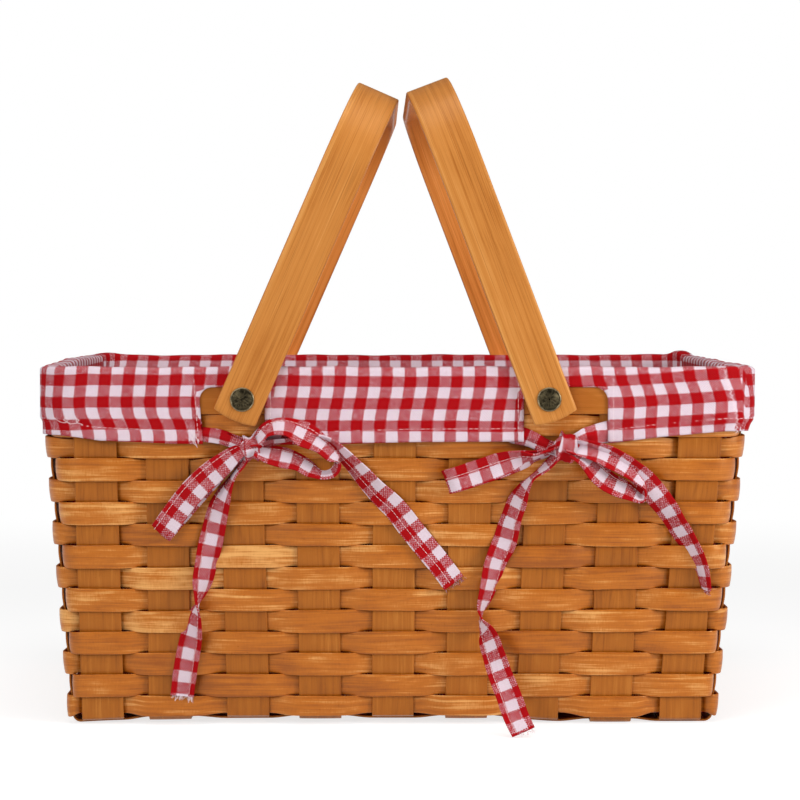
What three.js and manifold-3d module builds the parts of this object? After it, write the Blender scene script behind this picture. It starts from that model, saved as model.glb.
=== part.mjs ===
import * as THREE from 'three';
import { mergeVertices } from 'three/addons/utils/BufferGeometryUtils.js';
import Module from 'manifold-3d';

const wasm = await Module();
wasm.setup();

// A woven wood-chip picnic basket with two folding handles and a tied gingham liner.
// Millimetres, +Z up, the long side along X, the origin in the middle of the resting face.

// Driving dimensions of the woven body
const touchGap = 0.3; // left between two pieces that lie against each other
const stripThickness = 1.2; // of every woven strip
const stakeWidth = 24.6; // the wide strips of the floor and the uprights
const longStakes = 9; // uprights in a long wall
const longPitch = 42.8;
const endStakes = 6; // uprights in an end wall
const endPitch = 41;
const cornerRadius = 5; // of the middle of the weave, at floor height
const wallLean = 4.5; // degrees, outwards
const weaverRows = 14;
const weaverHeight = 12.3;
const rowGap = 0.4;
const footGap = 1.9; // between the floor and the lowest weaver
const crossingMargin = 0.7; // a strip stays flat this far past the strip that it crosses

// Driving dimensions of the rim
const hoopHeight = 26.3;
const hoopThickness = 2.5;

// Driving dimensions of the handles and their rivets
const handleWidth = 26;
const handleThickness = 5;
const handleReach = 196.3; // from the rivet to the top of the handle
const handleBend = 50; // outer radius of a shoulder
const handleTail = 11.5; // of the leg past its rivet
const handleTailCrown = 1.6; // how far the end of a leg bulges
const pivotX = 88; // of a rivet, from the middle
const pivotDrop = 17.4; // of a rivet, under the top of the hoops
const leftGripPast = 2.5; // how far past the middle the left grip's edge leans
const rightGripShort = 6.2; // how far short of the middle the right grip's edge stays
const rivetRadius = 2.5;
const rivetHeadRadius = 7;
const rivetHeadHeight = 2.4;
const rivetClinchRadius = 4.5;
const rivetClinchHeight = 1.2;
const boreClearance = 0.4;

// Driving dimensions of the cloth
const clothThickness = 0.8;
const legClearance = 0.5; // between the skirt and a leg that turns past it
const skirtDepth = 42; // of the fold-over, down from its top
const bagSlack = 2; // between the inner hoop and the bag
const bagFloorSlack = 1.8; // between the lowest weaver and the bag
const cutoutHeight = 30.4;
const cutoutCorner = 8;
const narrowCutout = [-25.3, 12.8]; // its two edges, from the rivet
const wideCutout = [-14.2, 34.3];
const strapThickness = 0.6;
const strapWidth = 11.8;
const rootWidth = 7;
const knotHalf = { across: 4.4, out: 4.2, up: 8 };
const loopDepth = 8.5; // how far an open loop stands out
const overLoopEnd = 45; // a first tail lies over the flat loop down to here, under the knot
const overLoopFade = 25; // and comes back to the weave over this height

// Sizes that follow
const degrees = Math.PI / 180;
const waveHeight = stripThickness + touchGap; // from the middle of the wall to a weaver's middle
const halfLength = ((longStakes - 1) * longPitch + stakeWidth) / 2; // where the corners start
const halfWidth = ((endStakes - 1) * endPitch + stakeWidth) / 2;
const floorHeight = 2 * stripThickness + touchGap;
const rowStart = floorHeight + footGap;
const rowPitch = weaverHeight + rowGap;
const hoopBottom = rowStart + weaverRows * rowPitch;
const hoopTop = hoopBottom + hoopHeight;
const stakeTop = hoopTop - touchGap;
const leanSlope = Math.tan(wallLean * degrees);
const weaveFace = waveHeight + stripThickness / 2; // of a weaver, from the middle of the wall
const hoopInside = stripThickness / 2 + touchGap; // of a hoop, from the middle of the wall
const hoopOutside = hoopInside + hoopThickness;
const skirtInside = hoopOutside + touchGap;
const skirtOutside = skirtInside + clothThickness;
const rimTop = hoopTop + touchGap + clothThickness;
const skirtBottom = rimTop - skirtDepth;
const pivotZ = hoopTop - pivotDrop;

// How far the middle of the wall stands outside the core rectangle at a height
const reach = (z) => cornerRadius + leanSlope * Math.min(z, hoopBottom);
const rimReach = reach(hoopBottom);
const legInside = halfWidth + rimReach + skirtOutside + legClearance;
const legMiddle = legInside + handleThickness / 2;
const legOutside = legInside + handleThickness;

// The lean that brings the upper inner edge of a grip to a distance from its rivets
function leanFor(distance) {
  const edge = Math.hypot(handleReach, handleWidth / 2);
  return Math.asin(distance / edge) - Math.atan2(handleWidth / 2, handleReach);
}

const leftLean = leanFor(pivotX + leftGripPast);
const rightLean = leanFor(pivotX - rightGripShort);

// Colours, as they look in daylight
const wood = { color: 0xc98a3f, roughness: 0.55, metalness: 0 };
const hoopWood = { color: 0xd39a50, roughness: 0.55, metalness: 0 };
const handleWood = { color: 0xc88a4a, roughness: 0.45, metalness: 0 };
const antiqueBrass = { color: 0x6b5a3a, roughness: 0.45, metalness: 1 };
const gingham = { color: 0xd05060, roughness: 0.9, metalness: 0 };

const basket = new THREE.Group();

function addPiece(name, geometry, finish, parent = basket) {
  const mesh = new THREE.Mesh(geometry, new THREE.MeshStandardMaterial(finish));
  mesh.name = name;
  parent.add(mesh);
  return mesh;
}

function toSolid(geometry) {
  const bare = geometry.clone();
  bare.deleteAttribute('normal');
  bare.deleteAttribute('uv');
  const merged = mergeVertices(bare);
  return new wasm.Manifold(new wasm.Mesh({
    numProp: 3,
    vertProperties: Float32Array.from(merged.attributes.position.array),
    triVerts: Uint32Array.from(merged.index.array),
  }));
}

function toGeometry(solid) {
  const { vertProperties, triVerts } = solid.getMesh();
  const geometry = new THREE.BufferGeometry();
  geometry.setAttribute('position', new THREE.BufferAttribute(vertProperties, 3));
  geometry.setIndex(new THREE.BufferAttribute(triVerts, 1));
  const faceted = geometry.toNonIndexed();
  faceted.computeVertexNormals();
  return faceted;
}

function extrude(shape, depth) {
  return new THREE.ExtrudeGeometry(shape, { depth, bevelEnabled: false, curveSegments: 6 });
}

// A shape drawn across and up, given its length along X
function alongX(shape, length) {
  return extrude(shape, length).rotateX(Math.PI / 2).rotateZ(Math.PI / 2).translate(-length / 2, 0, 0);
}

// A shape drawn along and up, given its length along Y
function alongY(shape, length) {
  return extrude(shape, length).rotateX(Math.PI / 2).translate(0, length / 2, 0);
}

// The outline of a strip seen edge on: a line with half the thickness on each side, mitred
function edgeOutline(line, thicknessAt) {
  const sides = [[], []];
  line.forEach((point, i) => {
    const before = point.clone().sub(line[Math.max(i - 1, 0)]).normalize();
    const after = line[Math.min(i + 1, line.length - 1)].clone().sub(point).normalize();
    const along = before.clone().add(after).normalize();
    const mitre = along.dot(i ? before : after);
    const out = new THREE.Vector2(-along.y, along.x).multiplyScalar(thicknessAt(i) / 2 / mitre);
    sides[0].push(point.clone().add(out));
    sides[1].unshift(point.clone().sub(out));
  });
  return new THREE.Shape([...sides[0], ...sides[1]]);
}

// The four walls as seen from above, in turn: each one's direction, outward normal and uprights
const walls = [
  { along: [1, 0], out: [0, -1], run: halfLength, stakes: longStakes, pitch: longPitch },
  { along: [0, 1], out: [1, 0], run: halfWidth, stakes: endStakes, pitch: endPitch },
  { along: [-1, 0], out: [0, 1], run: halfLength, stakes: longStakes, pitch: longPitch },
  { along: [0, -1], out: [-1, 0], run: halfWidth, stakes: endStakes, pitch: endPitch },
];

const middleOf = (index, count, pitch) => (index - (count - 1) / 2) * pitch;

// The places that a weaver passes on its way round, each with its direction outwards
function weaverPlaces(row) {
  const flatHalf = stakeWidth / 2 + crossingMargin;
  const cornerTurns = [30, 60];
  const places = [];
  let crossing = 0;
  walls.forEach((wall, side) => {
    const depth = walls[(side + 1) % walls.length].run;
    const at = (s) => new THREE.Vector2(
      wall.along[0] * s + wall.out[0] * depth,
      wall.along[1] * s + wall.out[1] * depth,
    );
    const out = new THREE.Vector2(...wall.out);
    let wave = 0;
    for (let k = 0; k < wall.stakes; k += 1) {
      const middle = middleOf(k, wall.stakes, wall.pitch);
      wave = (crossing + row) % 2 ? waveHeight : -waveHeight;
      places.push({ core: at(Math.max(middle - flatHalf, -wall.run)), out, wave });
      places.push({ core: at(Math.min(middle + flatHalf, wall.run)), out, wave });
      crossing += 1;
    }
    cornerTurns.forEach((turn) => places.push({
      core: at(wall.run),
      out: out.clone().rotateAround(new THREE.Vector2(), turn * degrees),
      wave: wave * Math.cos(2 * turn * degrees),
    }));
  });
  return places;
}

// A weaver is a closed ring of four-sided section, led through its places and leaning with the wall
function weaver(row) {
  const places = weaverPlaces(row);
  const corners = [[1, 0], [1, 1], [-1, 1], [-1, 0]]; // outwards or inwards, bottom or top
  const ring = new THREE.TorusGeometry(1, 0.5, corners.length, places.length);
  const position = ring.attributes.position;
  const around = places.length + 1;
  for (let i = 0; i < position.count; i += 1) {
    const { core, out, wave } = places[(i % around) % places.length];
    const [side, up] = corners[Math.floor(i / around) % corners.length];
    const z = rowStart + row * rowPitch + up * weaverHeight;
    const point = core.clone().addScaledVector(out, reach(z) + wave + (side * stripThickness) / 2);
    position.setXYZ(i, point.x, point.y, z);
  }
  ring.computeVertexNormals();
  return ring;
}

// A stake runs down one wall, over and under the strips of the floor, and up the other wall
function stakeLine(span, crossings, pitch, isOver) {
  const bendSteps = 3;
  const flatHalf = stakeWidth / 2 + crossingMargin;
  const height = (k) => stripThickness / 2 + (isOver(k) ? waveHeight : 0);
  const wall = (lowest) => {
    const bend = rowStart - lowest;
    const foot = span + reach(rowStart);
    const points = [];
    for (let i = 0; i <= bendSteps; i += 1) {
      const turn = (Math.PI / 2) * (i / bendSteps);
      points.push([foot - bend + bend * Math.sin(turn), rowStart - bend * Math.cos(turn)]);
    }
    points.push([span + rimReach, hoopBottom], [span + rimReach, stakeTop]);
    return points;
  };
  const floor = [];
  for (let k = 0; k < crossings; k += 1) {
    const middle = middleOf(k, crossings, pitch);
    if (k > 0) floor.push([middle - flatHalf, height(k)]);
    if (k < crossings - 1) floor.push([middle + flatHalf, height(k)]);
  }
  const left = wall(height(0)).reverse().map(([across, up]) => [-across, up]);
  const line = [...left, ...floor, ...wall(height(crossings - 1))];
  return line.map((point) => new THREE.Vector2(...point));
}

const crosswiseIsOver = (i, j) => (i + j) % 2 === 0;

function crosswiseStake(i) {
  const line = stakeLine(halfWidth, endStakes, endPitch, (j) => crosswiseIsOver(i, j));
  return alongX(edgeOutline(line, () => stripThickness), stakeWidth)
    .translate(middleOf(i, longStakes, longPitch), 0, 0);
}

function lengthwiseStake(j) {
  const line = stakeLine(halfLength, longStakes, longPitch, (i) => !crosswiseIsOver(i, j));
  return alongY(edgeOutline(line, () => stripThickness), stakeWidth)
    .translate(0, middleOf(j, endStakes, endPitch), 0);
}

// A block with the plan of the basket, from one height and reach to another
function planBlock(from, to) {
  const cornerSteps = 5;
  const corners = [[1, 1], [-1, 1], [-1, -1], [1, -1]];
  const points = corners.flatMap(([x, y], quarter) => {
    const core = new THREE.Vector2(x * halfLength, y * halfWidth);
    return Array.from({ length: cornerSteps + 1 }, (_, i) => {
      const turn = (quarter + i / cornerSteps) * (Math.PI / 2);
      return core.clone().add(new THREE.Vector2(Math.cos(turn), Math.sin(turn)).multiplyScalar(from.reach));
    });
  });
  const geometry = extrude(new THREE.Shape(points), to.z - from.z);
  const place = geometry.attributes.position;
  for (let i = 0; i < place.count; i += 1) {
    if (place.getZ(i) > 0) {
      const coreX = THREE.MathUtils.clamp(place.getX(i), -halfLength, halfLength);
      const coreY = THREE.MathUtils.clamp(place.getY(i), -halfWidth, halfWidth);
      const grown = to.reach / from.reach;
      place.setX(i, coreX + (place.getX(i) - coreX) * grown);
      place.setY(i, coreY + (place.getY(i) - coreY) * grown);
    }
  }
  return toSolid(geometry.translate(0, 0, from.z));
}

const uprightBlock = (bottom, top, offset) => planBlock(
  { z: bottom, reach: rimReach + offset },
  { z: top, reach: rimReach + offset },
);

// The hole of a pair of rivets, right through the basket along Y
function rivetBore() {
  const radius = rivetRadius + boreClearance;
  return toSolid(new THREE.CylinderGeometry(radius, radius, 4 * halfWidth, 16));
}

const bores = rivetBore().translate([-pivotX, 0, pivotZ])
  .add(rivetBore().translate([pivotX, 0, pivotZ]));

function hoop(inside, outside) {
  const ring = uprightBlock(hoopBottom, hoopTop, outside)
    .subtract(uprightBlock(hoopBottom - 1, hoopTop + 1, inside));
  return toGeometry(ring.subtract(bores));
}

// A steam-bent strip: a leg, a shoulder, the grip, a shoulder and a leg, with its rivets' line at 0
function handle() {
  const shoulderSteps = 7;
  const bend = handleBend - handleThickness / 2;
  const side = [new THREE.Vector2(legMiddle, -handleTail - handleTailCrown)];
  for (let i = 0; i <= shoulderSteps; i += 1) {
    const turn = (Math.PI / 2) * (i / shoulderSteps);
    side.push(new THREE.Vector2(
      legMiddle - bend + bend * Math.cos(turn),
      handleReach - handleBend + bend * Math.sin(turn),
    ));
  }
  const other = side.map((point) => new THREE.Vector2(-point.x, point.y)).reverse();
  const strip = toSolid(alongX(edgeOutline([...side, ...other], () => handleThickness), handleWidth));
  const face = new THREE.Shape();
  const endRadius = (handleWidth ** 2 / 4 + handleTailCrown ** 2) / (2 * handleTailCrown);
  const endHalfTurn = Math.asin(handleWidth / 2 / endRadius);
  const down = -Math.PI / 2;
  face.moveTo(handleWidth, handleReach * 2);
  face.lineTo(-handleWidth, handleReach * 2);
  face.lineTo(-handleWidth, -handleTail);
  face.absarc(0, endRadius - handleTail - handleTailCrown, endRadius, down - endHalfTurn, down + endHalfTurn);
  face.lineTo(handleWidth, -handleTail);
  const trimmed = strip.intersect(toSolid(alongY(face, 4 * halfWidth)));
  return toGeometry(trimmed.subtract(rivetBore()));
}

// A rivet with its clinched inner end, its spacing collar and its domed head, turned round Y
function rivet() {
  const middle = halfWidth + rimReach;
  const clinch = middle - hoopOutside - touchGap;
  const collarRadius = rivetRadius + 2;
  const crownStart = rivetHeadRadius * 0.88;
  const head = legOutside + touchGap;
  const profile = [
    [0, clinch - rivetClinchHeight],
    [rivetClinchRadius * 0.7, clinch - rivetClinchHeight],
    [rivetClinchRadius, clinch - rivetClinchHeight / 2],
    [rivetClinchRadius, clinch],
    [rivetRadius, clinch],
    [rivetRadius, middle + hoopOutside + touchGap],
    [collarRadius, middle + hoopOutside + touchGap],
    [collarRadius, legInside - touchGap],
    [rivetRadius, legInside - touchGap],
    [rivetRadius, head],
    [rivetHeadRadius, head],
    [rivetHeadRadius, head + rivetHeadHeight * 0.4],
    [crownStart, head + rivetHeadHeight * 0.75],
    [crownStart * 0.55, head + rivetHeadHeight * 0.95],
    [0, head + rivetHeadHeight],
  ];
  return new THREE.LatheGeometry(profile.map((point) => new THREE.Vector2(...point)), 12);
}

// The liner: a bag, a fold over the hoops and a skirt with a cut-out for each leg
function liner() {
  const bagBottom = floorHeight + touchGap;
  const slack = (thickness) => [
    reach(bagBottom) - weaveFace - bagFloorSlack - thickness,
    rimReach - hoopOutside - bagSlack - thickness,
  ];
  const bag = (thickness, bottom, top) => {
    const [low, high] = slack(thickness);
    const lower = planBlock({ z: bottom, reach: low }, { z: hoopBottom, reach: high });
    const upper = planBlock({ z: hoopBottom, reach: high }, { z: top, reach: high });
    return lower.add(upper);
  };
  const fold = uprightBlock(rimTop - clothThickness, rimTop, skirtOutside);
  const skirt = uprightBlock(skirtBottom, rimTop, skirtOutside)
    .subtract(uprightBlock(skirtBottom - 1, rimTop - clothThickness, skirtInside));
  const cloth = bag(0, bagBottom, rimTop).add(fold).add(skirt)
    .subtract(bag(clothThickness, bagBottom + clothThickness, rimTop + 1));
  const front = cutout(-pivotX, narrowCutout).add(cutout(pivotX, wideCutout));
  return toGeometry(cloth.subtract(front).subtract(front.rotate([0, 0, 180])));
}

// The space of a cut-out in the front of the skirt, with two round upper corners
function cutout(x, [left, right]) {
  const top = skirtBottom + cutoutHeight;
  const shape = new THREE.Shape();
  shape.moveTo(x + left, skirtBottom - 1);
  shape.lineTo(x + right, skirtBottom - 1);
  shape.absarc(x + right - cutoutCorner, top - cutoutCorner, cutoutCorner, 0, Math.PI / 2);
  shape.absarc(x + left + cutoutCorner, top - cutoutCorner, cutoutCorner, Math.PI / 2, Math.PI);
  const face = halfWidth + rimReach;
  const depth = 4 * clothThickness;
  return toSolid(alongY(shape, depth).translate(0, -(face + hoopOutside + touchGap / 2 + depth / 2), 0));
}

// The two bows of the front, each about its knot. A strap is [across, up, width] at each point.
const knotDrop = 6.2; // of a knot, under the hem of the skirt
const bows = {
  left: {
    knotX: 4.7 - pivotX,
    cutoutEdges: narrowCutout.map((edge) => edge - pivotX),
    flatLoop: [[-5.2, 1, 5], [-14, -6, 12.4], [-52, -46.7, 13.6]],
    openLoop: { middle: [27.5, 2], half: [22.5, 12], tilt: -16 },
    firstTail: [[-6.5, -6, 4], [-10.7, -13, 5], [-15, -27, strapWidth], [-41.3, -138, strapWidth]],
    firstTailTwist: -13,
    firstTailFloor: 0,
    secondTail: [[5.2, -3, 5], [20, -4, 9], [50, -5, strapWidth], [120.2, -80.3, strapWidth]],
  },
  right: {
    knotX: 8.9 + pivotX,
    cutoutEdges: wideCutout.map((edge) => edge + pivotX),
    flatLoop: [[-5.2, 1, 5], [-16, -1, 12.4], [-67, -18.6, 14.8]],
    openLoop: { middle: [25.5, -9.5], half: [21.5, 10.5], tilt: -36 },
    firstTail: [
      [-5.6, -8, 4], [-17, -22, strapWidth], [-46.7, -64, strapWidth],
      [-48, -97, 4], [-42, -114, 10], [-26.5, -159.2, strapWidth],
    ],
    firstTailTwist: -97, // where it leaves the wall, from the knot
    firstTailFloor: 50, // how far the end that rests on the ground lies from the wall
    secondTail: [[5.2, -4, 5], [22, -7, 9], [61.8, -30, strapWidth], [84.2, -82, strapWidth]],
  },
};

// How far in front of the core rectangle the outermost weaver is at a height
const weaveFront = (z) => halfWidth + reach(z) + weaveFace;

// A flat strap that hangs in front of the weave, a distance off it that may change with height
function strap(knot, points, thickness, standOff) {
  const curve = new THREE.CatmullRomCurve3(points.map((point) => new THREE.Vector3(...point)));
  const steps = 4 * (points.length - 1);
  const samples = curve.getPoints(steps);
  const line = samples.map(({ x, y }) => new THREE.Vector2(knot.x + x, knot.y + y));
  const outline = edgeOutline(line, (i) => samples[i].z);
  const geometry = alongY(outline, thickness);
  const place = geometry.attributes.position;
  for (let i = 0; i < place.count; i += 1) {
    const z = place.getZ(i);
    place.setY(i, place.getY(i) - thickness / 2 - weaveFront(z) - touchGap - standOff(z));
  }
  return geometry;
}

function bowKnot(knot, edges) {
  const middle = weaveFront(knot.y + knotHalf.up) + touchGap + knotHalf.out;
  const lump = new THREE.SphereGeometry(1, 10, 7)
    .scale(knotHalf.across, knotHalf.out, knotHalf.up)
    .translate(knot.x, -middle, knot.y);
  const rootRise = 7;
  const roots = edges.map((edge) => {
    const side = Math.sign(edge - knot.x);
    const length = Math.hypot(edge - knot.x, rootRise);
    const cornerPast = (rootWidth / 2) * (rootRise / length);
    const line = [
      new THREE.Vector2(knot.x, knot.y),
      new THREE.Vector2(edge - side * (touchGap + cornerPast), knot.y + rootRise),
    ];
    const root = alongY(edgeOutline(line, () => rootWidth), strapThickness);
    const skirtMiddle = halfWidth + rimReach + skirtInside + clothThickness / 2;
    return toSolid(root.translate(0, -skirtMiddle, 0));
  });
  return toGeometry(roots.reduce((knotted, root) => knotted.add(root), toSolid(lump)));
}

// An open loop: a band round a tilted oval, pointed towards the knot
function openLoop(knot, { middle, half, tilt }) {
  const steps = 18;
  const ring = (inset) => Array.from({ length: steps }, (_, i) => {
    const turn = (2 * Math.PI * i) / steps;
    const pinch = 1 - 0.45 * (0.5 - 0.5 * Math.cos(turn)) ** 3;
    return new THREE.Vector2(
      (half[0] - inset) * Math.cos(turn),
      (half[1] - inset) * Math.sin(turn) * pinch,
    ).rotateAround(new THREE.Vector2(), tilt * degrees)
      .add(new THREE.Vector2(knot.x + middle[0], knot.y + middle[1]));
  });
  const band = new THREE.Shape(ring(0));
  band.holes.push(new THREE.Path(ring(clothThickness)));
  const back = halfWidth + rimReach + skirtOutside + touchGap;
  return alongY(band, loopDepth).translate(0, -(back + loopDepth / 2), 0);
}

// The five pieces of a bow, turned half round for the back of the basket
function addBow(name, bow, turn) {
  const knot = new THREE.Vector2(bow.knotX, skirtBottom - knotDrop);
  const doubled = 2 * strapThickness;
  const weaveAgain = knot.y - overLoopEnd - overLoopFade;
  const overLoop = (z) => (
    (doubled + touchGap) * THREE.MathUtils.smoothstep(z, weaveAgain, weaveAgain + overLoopFade)
  );
  const twistHeight = knot.y + bow.firstTailTwist;
  const towardsFloor = (z) => overLoop(z) + bow.firstTailFloor * Math.max(0, 1 - z / twistHeight);
  const pieces = {
    knot: bowKnot(knot, bow.cutoutEdges),
    flat_loop: strap(knot, bow.flatLoop, doubled, () => 0),
    open_loop: openLoop(knot, bow.openLoop),
    first_tail: strap(knot, bow.firstTail, strapThickness, towardsFloor),
    second_tail: strap(knot, bow.secondTail, strapThickness, () => 0),
  };
  Object.entries(pieces).forEach(([piece, geometry]) => {
    addPiece(`${name}_bow_${piece}`, geometry.rotateZ(turn), gingham);
  });
}

for (let i = 0; i < longStakes; i += 1) {
  const solid = toSolid(crosswiseStake(i)).subtract(bores);
  addPiece(`crosswise_stake_${i + 1}`, toGeometry(solid), wood);
}
for (let j = 0; j < endStakes; j += 1) {
  addPiece(`lengthwise_stake_${j + 1}`, lengthwiseStake(j), wood);
}
for (let row = 0; row < weaverRows; row += 1) {
  addPiece(`weaver_${String(row + 1).padStart(2, '0')}`, weaver(row), wood);
}
addPiece('outer_rim_hoop', hoop(hoopInside, hoopOutside), hoopWood);
addPiece('inner_rim_hoop', hoop(-hoopOutside, -hoopInside), hoopWood);
addPiece('liner', liner(), gingham);

[['left', -1, leftLean], ['right', 1, -rightLean]].forEach(([side, sign, lean]) => {
  const hinge = new THREE.Group();
  hinge.position.set(sign * pivotX, 0, pivotZ);
  hinge.rotation.y = lean;
  addPiece(`${side}_handle`, handle(), handleWood, hinge);
  basket.add(hinge);
  addPiece(`back_${side}_rivet`, rivet().translate(sign * pivotX, 0, pivotZ), antiqueBrass);
  addPiece(`front_${side}_rivet`, rivet().rotateZ(Math.PI).translate(sign * pivotX, 0, pivotZ), antiqueBrass);
});

addBow('front_left', bows.left, 0);
addBow('front_right', bows.right, 0);
addBow('back_right', bows.left, Math.PI);
addBow('back_left', bows.right, Math.PI);

export default basket;
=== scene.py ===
import bmesh
import bpy
import numpy as np
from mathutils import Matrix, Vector


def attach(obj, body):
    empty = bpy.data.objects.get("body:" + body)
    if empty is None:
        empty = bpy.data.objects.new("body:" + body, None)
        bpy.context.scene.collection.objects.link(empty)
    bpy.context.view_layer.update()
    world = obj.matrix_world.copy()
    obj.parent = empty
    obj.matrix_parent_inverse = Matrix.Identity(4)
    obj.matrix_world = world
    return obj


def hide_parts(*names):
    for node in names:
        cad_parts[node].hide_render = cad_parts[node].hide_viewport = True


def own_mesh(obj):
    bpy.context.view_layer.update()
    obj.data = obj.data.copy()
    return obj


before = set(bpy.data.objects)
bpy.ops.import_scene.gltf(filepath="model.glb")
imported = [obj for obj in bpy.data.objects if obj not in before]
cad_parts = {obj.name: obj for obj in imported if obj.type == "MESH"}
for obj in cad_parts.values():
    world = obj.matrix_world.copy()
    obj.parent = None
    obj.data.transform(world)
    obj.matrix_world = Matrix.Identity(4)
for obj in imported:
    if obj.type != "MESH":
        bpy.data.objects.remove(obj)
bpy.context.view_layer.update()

# Every shape below is worked out in millimetres, +Z up, and made metres in its mesh.
MM = 0.001
DEG = np.pi / 180

# Sizes of the woven body, the same as in the part's source
GAP = 0.3
STRIP = 1.2
STAKE_WIDTH = 24.6
LONG_STAKES = 9
LONG_PITCH = 42.8
END_STAKES = 6
END_PITCH = 41.0
HALF_LENGTH = 183.5
HALF_WIDTH = 114.8
CORNER_RADIUS = 5.0
LEAN = 0.0787
ROWS = 14
ROW_START = 4.6
ROW_PITCH = 12.7
HOOP_BOTTOM = 182.4
HOOP_TOP = 208.7
RIM_REACH = CORNER_RADIUS + LEAN * HOOP_BOTTOM
HOOP_INSIDE = 0.9
HOOP_OUTSIDE = 3.4
FLOOR_LOW = STRIP / 2
FLOOR_HIGH = FLOOR_LOW + STRIP + GAP
# The radius of a stake's bend from a wall into the floor, at either level of the floor
STAKE_BENDS = {FLOOR_LOW: 4.4, FLOOR_HIGH: 2.6}
STAKE_PRESS = 0.5

# Sizes of the handles and rivets
PIVOT_X = 88.0
PIVOT_Z = 191.3
HANDLE_WIDTH = 26.0
HANDLE_THICKNESS = 5.0
HANDLE_REACH = 196.3
HANDLE_BEND = 47.5
HANDLE_TAIL = 11.5
HANDLE_CROWN = 1.6
HANDLE_EDGE = 1.1
LEG_MIDDLE = 141.655
LEFT_LEAN = 23.6 * DEG
RIGHT_LEAN = 20.78 * DEG


def unit(v):
    """Vectors divided by their own lengths."""
    return v / np.linalg.norm(v, axis=-1, keepdims=True)


def quarter_turn(v):
    """Flat vectors turned left by a quarter."""
    return np.stack([-v[..., 1], v[..., 0]], -1)


def outward_at(angle):
    """The flat direction out of the body at an angle round it, which is 0 in front."""
    return np.stack([np.sin(angle), -np.cos(angle)], -1)


def with_z(flat, z):
    """Flat points or vectors with their heights as the third number."""
    return np.concatenate([flat, np.broadcast_to(z, flat.shape[:-1])[..., None]], -1)


def lengths_along(points):
    """How far along their line each of the points is."""
    return np.concatenate([[0], np.cumsum(np.linalg.norm(np.diff(points, axis=0), axis=1))])


def ease(t):
    """The smooth step 3t² - 2t³ of a share that is held between 0 and 1."""
    t = np.clip(t, 0, 1)
    return t * t * (3 - 2 * t)


def reach(z):
    """How far the middle of a wall stands outside the core rectangle: a straight lean up to the hoops."""
    return CORNER_RADIUS + LEAN * np.minimum(z, HOOP_BOTTOM)


def facing(turn):
    """Factors for points and directions of the front: a turn of 1 leaves them there, and -1 turns them
    half round the middle, to the back."""
    return np.array([turn, turn, 1])


def ripple(s, seed, lengths, height):
    """A sum of sines of the given lengths, with phases from the seed, whose swing is about the height."""
    phases = np.random.default_rng(seed).uniform(0, 2 * np.pi, len(lengths))
    waves = [np.sin(2 * np.pi * s / length + p) for length, p in zip(lengths, phases)]
    return height * sum(waves) / np.sqrt(len(lengths))


FOOT_RISE = 2.6
FOOT_CORNER = (188, 120)
RIGHT_DRAWN_IN = 2.8


def settle(points):
    """The body stands on its four corners: away from them the woven floor rises by FOOT_RISE times
    1 - |x/a|⁵|y/b|³, with a and b from FOOT_CORNER, up to where the rows start. Its right end lies flat
    and is drawn in at the foot."""
    x, y, z = np.moveaxis(points, -1, 0)
    corner = np.abs(x / FOOT_CORNER[0]) ** 5 * np.abs(y / FOOT_CORNER[1]) ** 3
    flat = 0.85 * ease((x - 60) / 40)
    rise = FOOT_RISE * (1 - np.maximum(np.minimum(corner, 1), flat)) * ease(1.35 - z / ROW_START)
    drawn = RIGHT_DRAWN_IN * ease(x / 190) * np.clip((150 - z) / 135, 0, 1)
    return np.stack([x - drawn, y, z + rise], -1)


# Meshes


def add_object(name, data):
    """An object in the scene that shows a mesh, a lamp or a lens."""
    made = bpy.data.objects.new(name, data)
    bpy.context.scene.collection.objects.link(made)
    return made


def grid_faces(n, m, wrap_n=False, wrap_m=False):
    """The quads of an n by m grid, and each corner's two grid places before they wrap round."""
    i, j = np.meshgrid(
        np.arange(n if wrap_n else n - 1), np.arange(m if wrap_m else m - 1), indexing="ij"
    )
    corner_i = np.stack([i, i + 1, i + 1, i], -1).reshape(-1, 4)
    corner_j = np.stack([j, j, j + 1, j + 1], -1).reshape(-1, 4)
    return (corner_i % n) * m + corner_j % m, corner_i, corner_j


def inside_out(points, faces):
    """Whether a closed mesh's volume, summed as tetrahedra on the origin, comes out negative."""
    a, b, c, d = (points[faces[:, k]] for k in range(4))
    six = np.einsum("ij,ij->i", a, np.cross(b, c)) + np.einsum("ij,ij->i", a, np.cross(c, d))
    return six.sum() < 0


def add_piece(name, points, faces, uv, finish, body="basket", closed=True):
    """A mesh object from points in millimetres and quads, with one UV pair for each face corner."""
    points = points.reshape(-1, 3)
    if closed and inside_out(points, faces):
        faces, uv = faces[:, ::-1], uv[:, ::-1]
    mesh = bpy.data.meshes.new(name)
    mesh.from_pydata((points * MM).tolist(), [], faces.tolist())
    mesh.uv_layers.new(name="UVMap").data.foreach_set("uv", uv.astype(np.float32).ravel())
    mesh.polygons.foreach_set("use_smooth", np.ones(len(mesh.polygons), bool))
    mesh.materials.append(finish)
    mesh.validate()
    mesh.update()
    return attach(add_object(name, mesh), body)


def edge_profile(radius, thickness, middles=5):
    """A strip's cross-section with rounded edges, down one face and back up the other. Each point has
    a share of the half width, an inset from there, and a distance from the strip's middle."""
    turn = np.linspace(0, np.pi / 2, 4)
    share = np.concatenate([np.ones(5), np.linspace(1, -1, middles + 2)[1:-1], -np.ones(5)])
    inset = np.concatenate([radius * (1 - np.cos(turn)), [1.9 * radius]])
    depth = np.concatenate([thickness / 2 - radius * (1 - np.sin(turn)), [thickness / 2]])
    flat = np.full(middles, thickness / 2)
    inset = np.concatenate([inset, np.zeros(middles), -inset[::-1]])
    depth = np.concatenate([depth, flat, depth[::-1]])
    return (
        np.concatenate([share, share[::-1]]),
        np.concatenate([inset, inset[::-1]]),
        np.concatenate([depth, -depth[::-1]]),
    )


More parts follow.
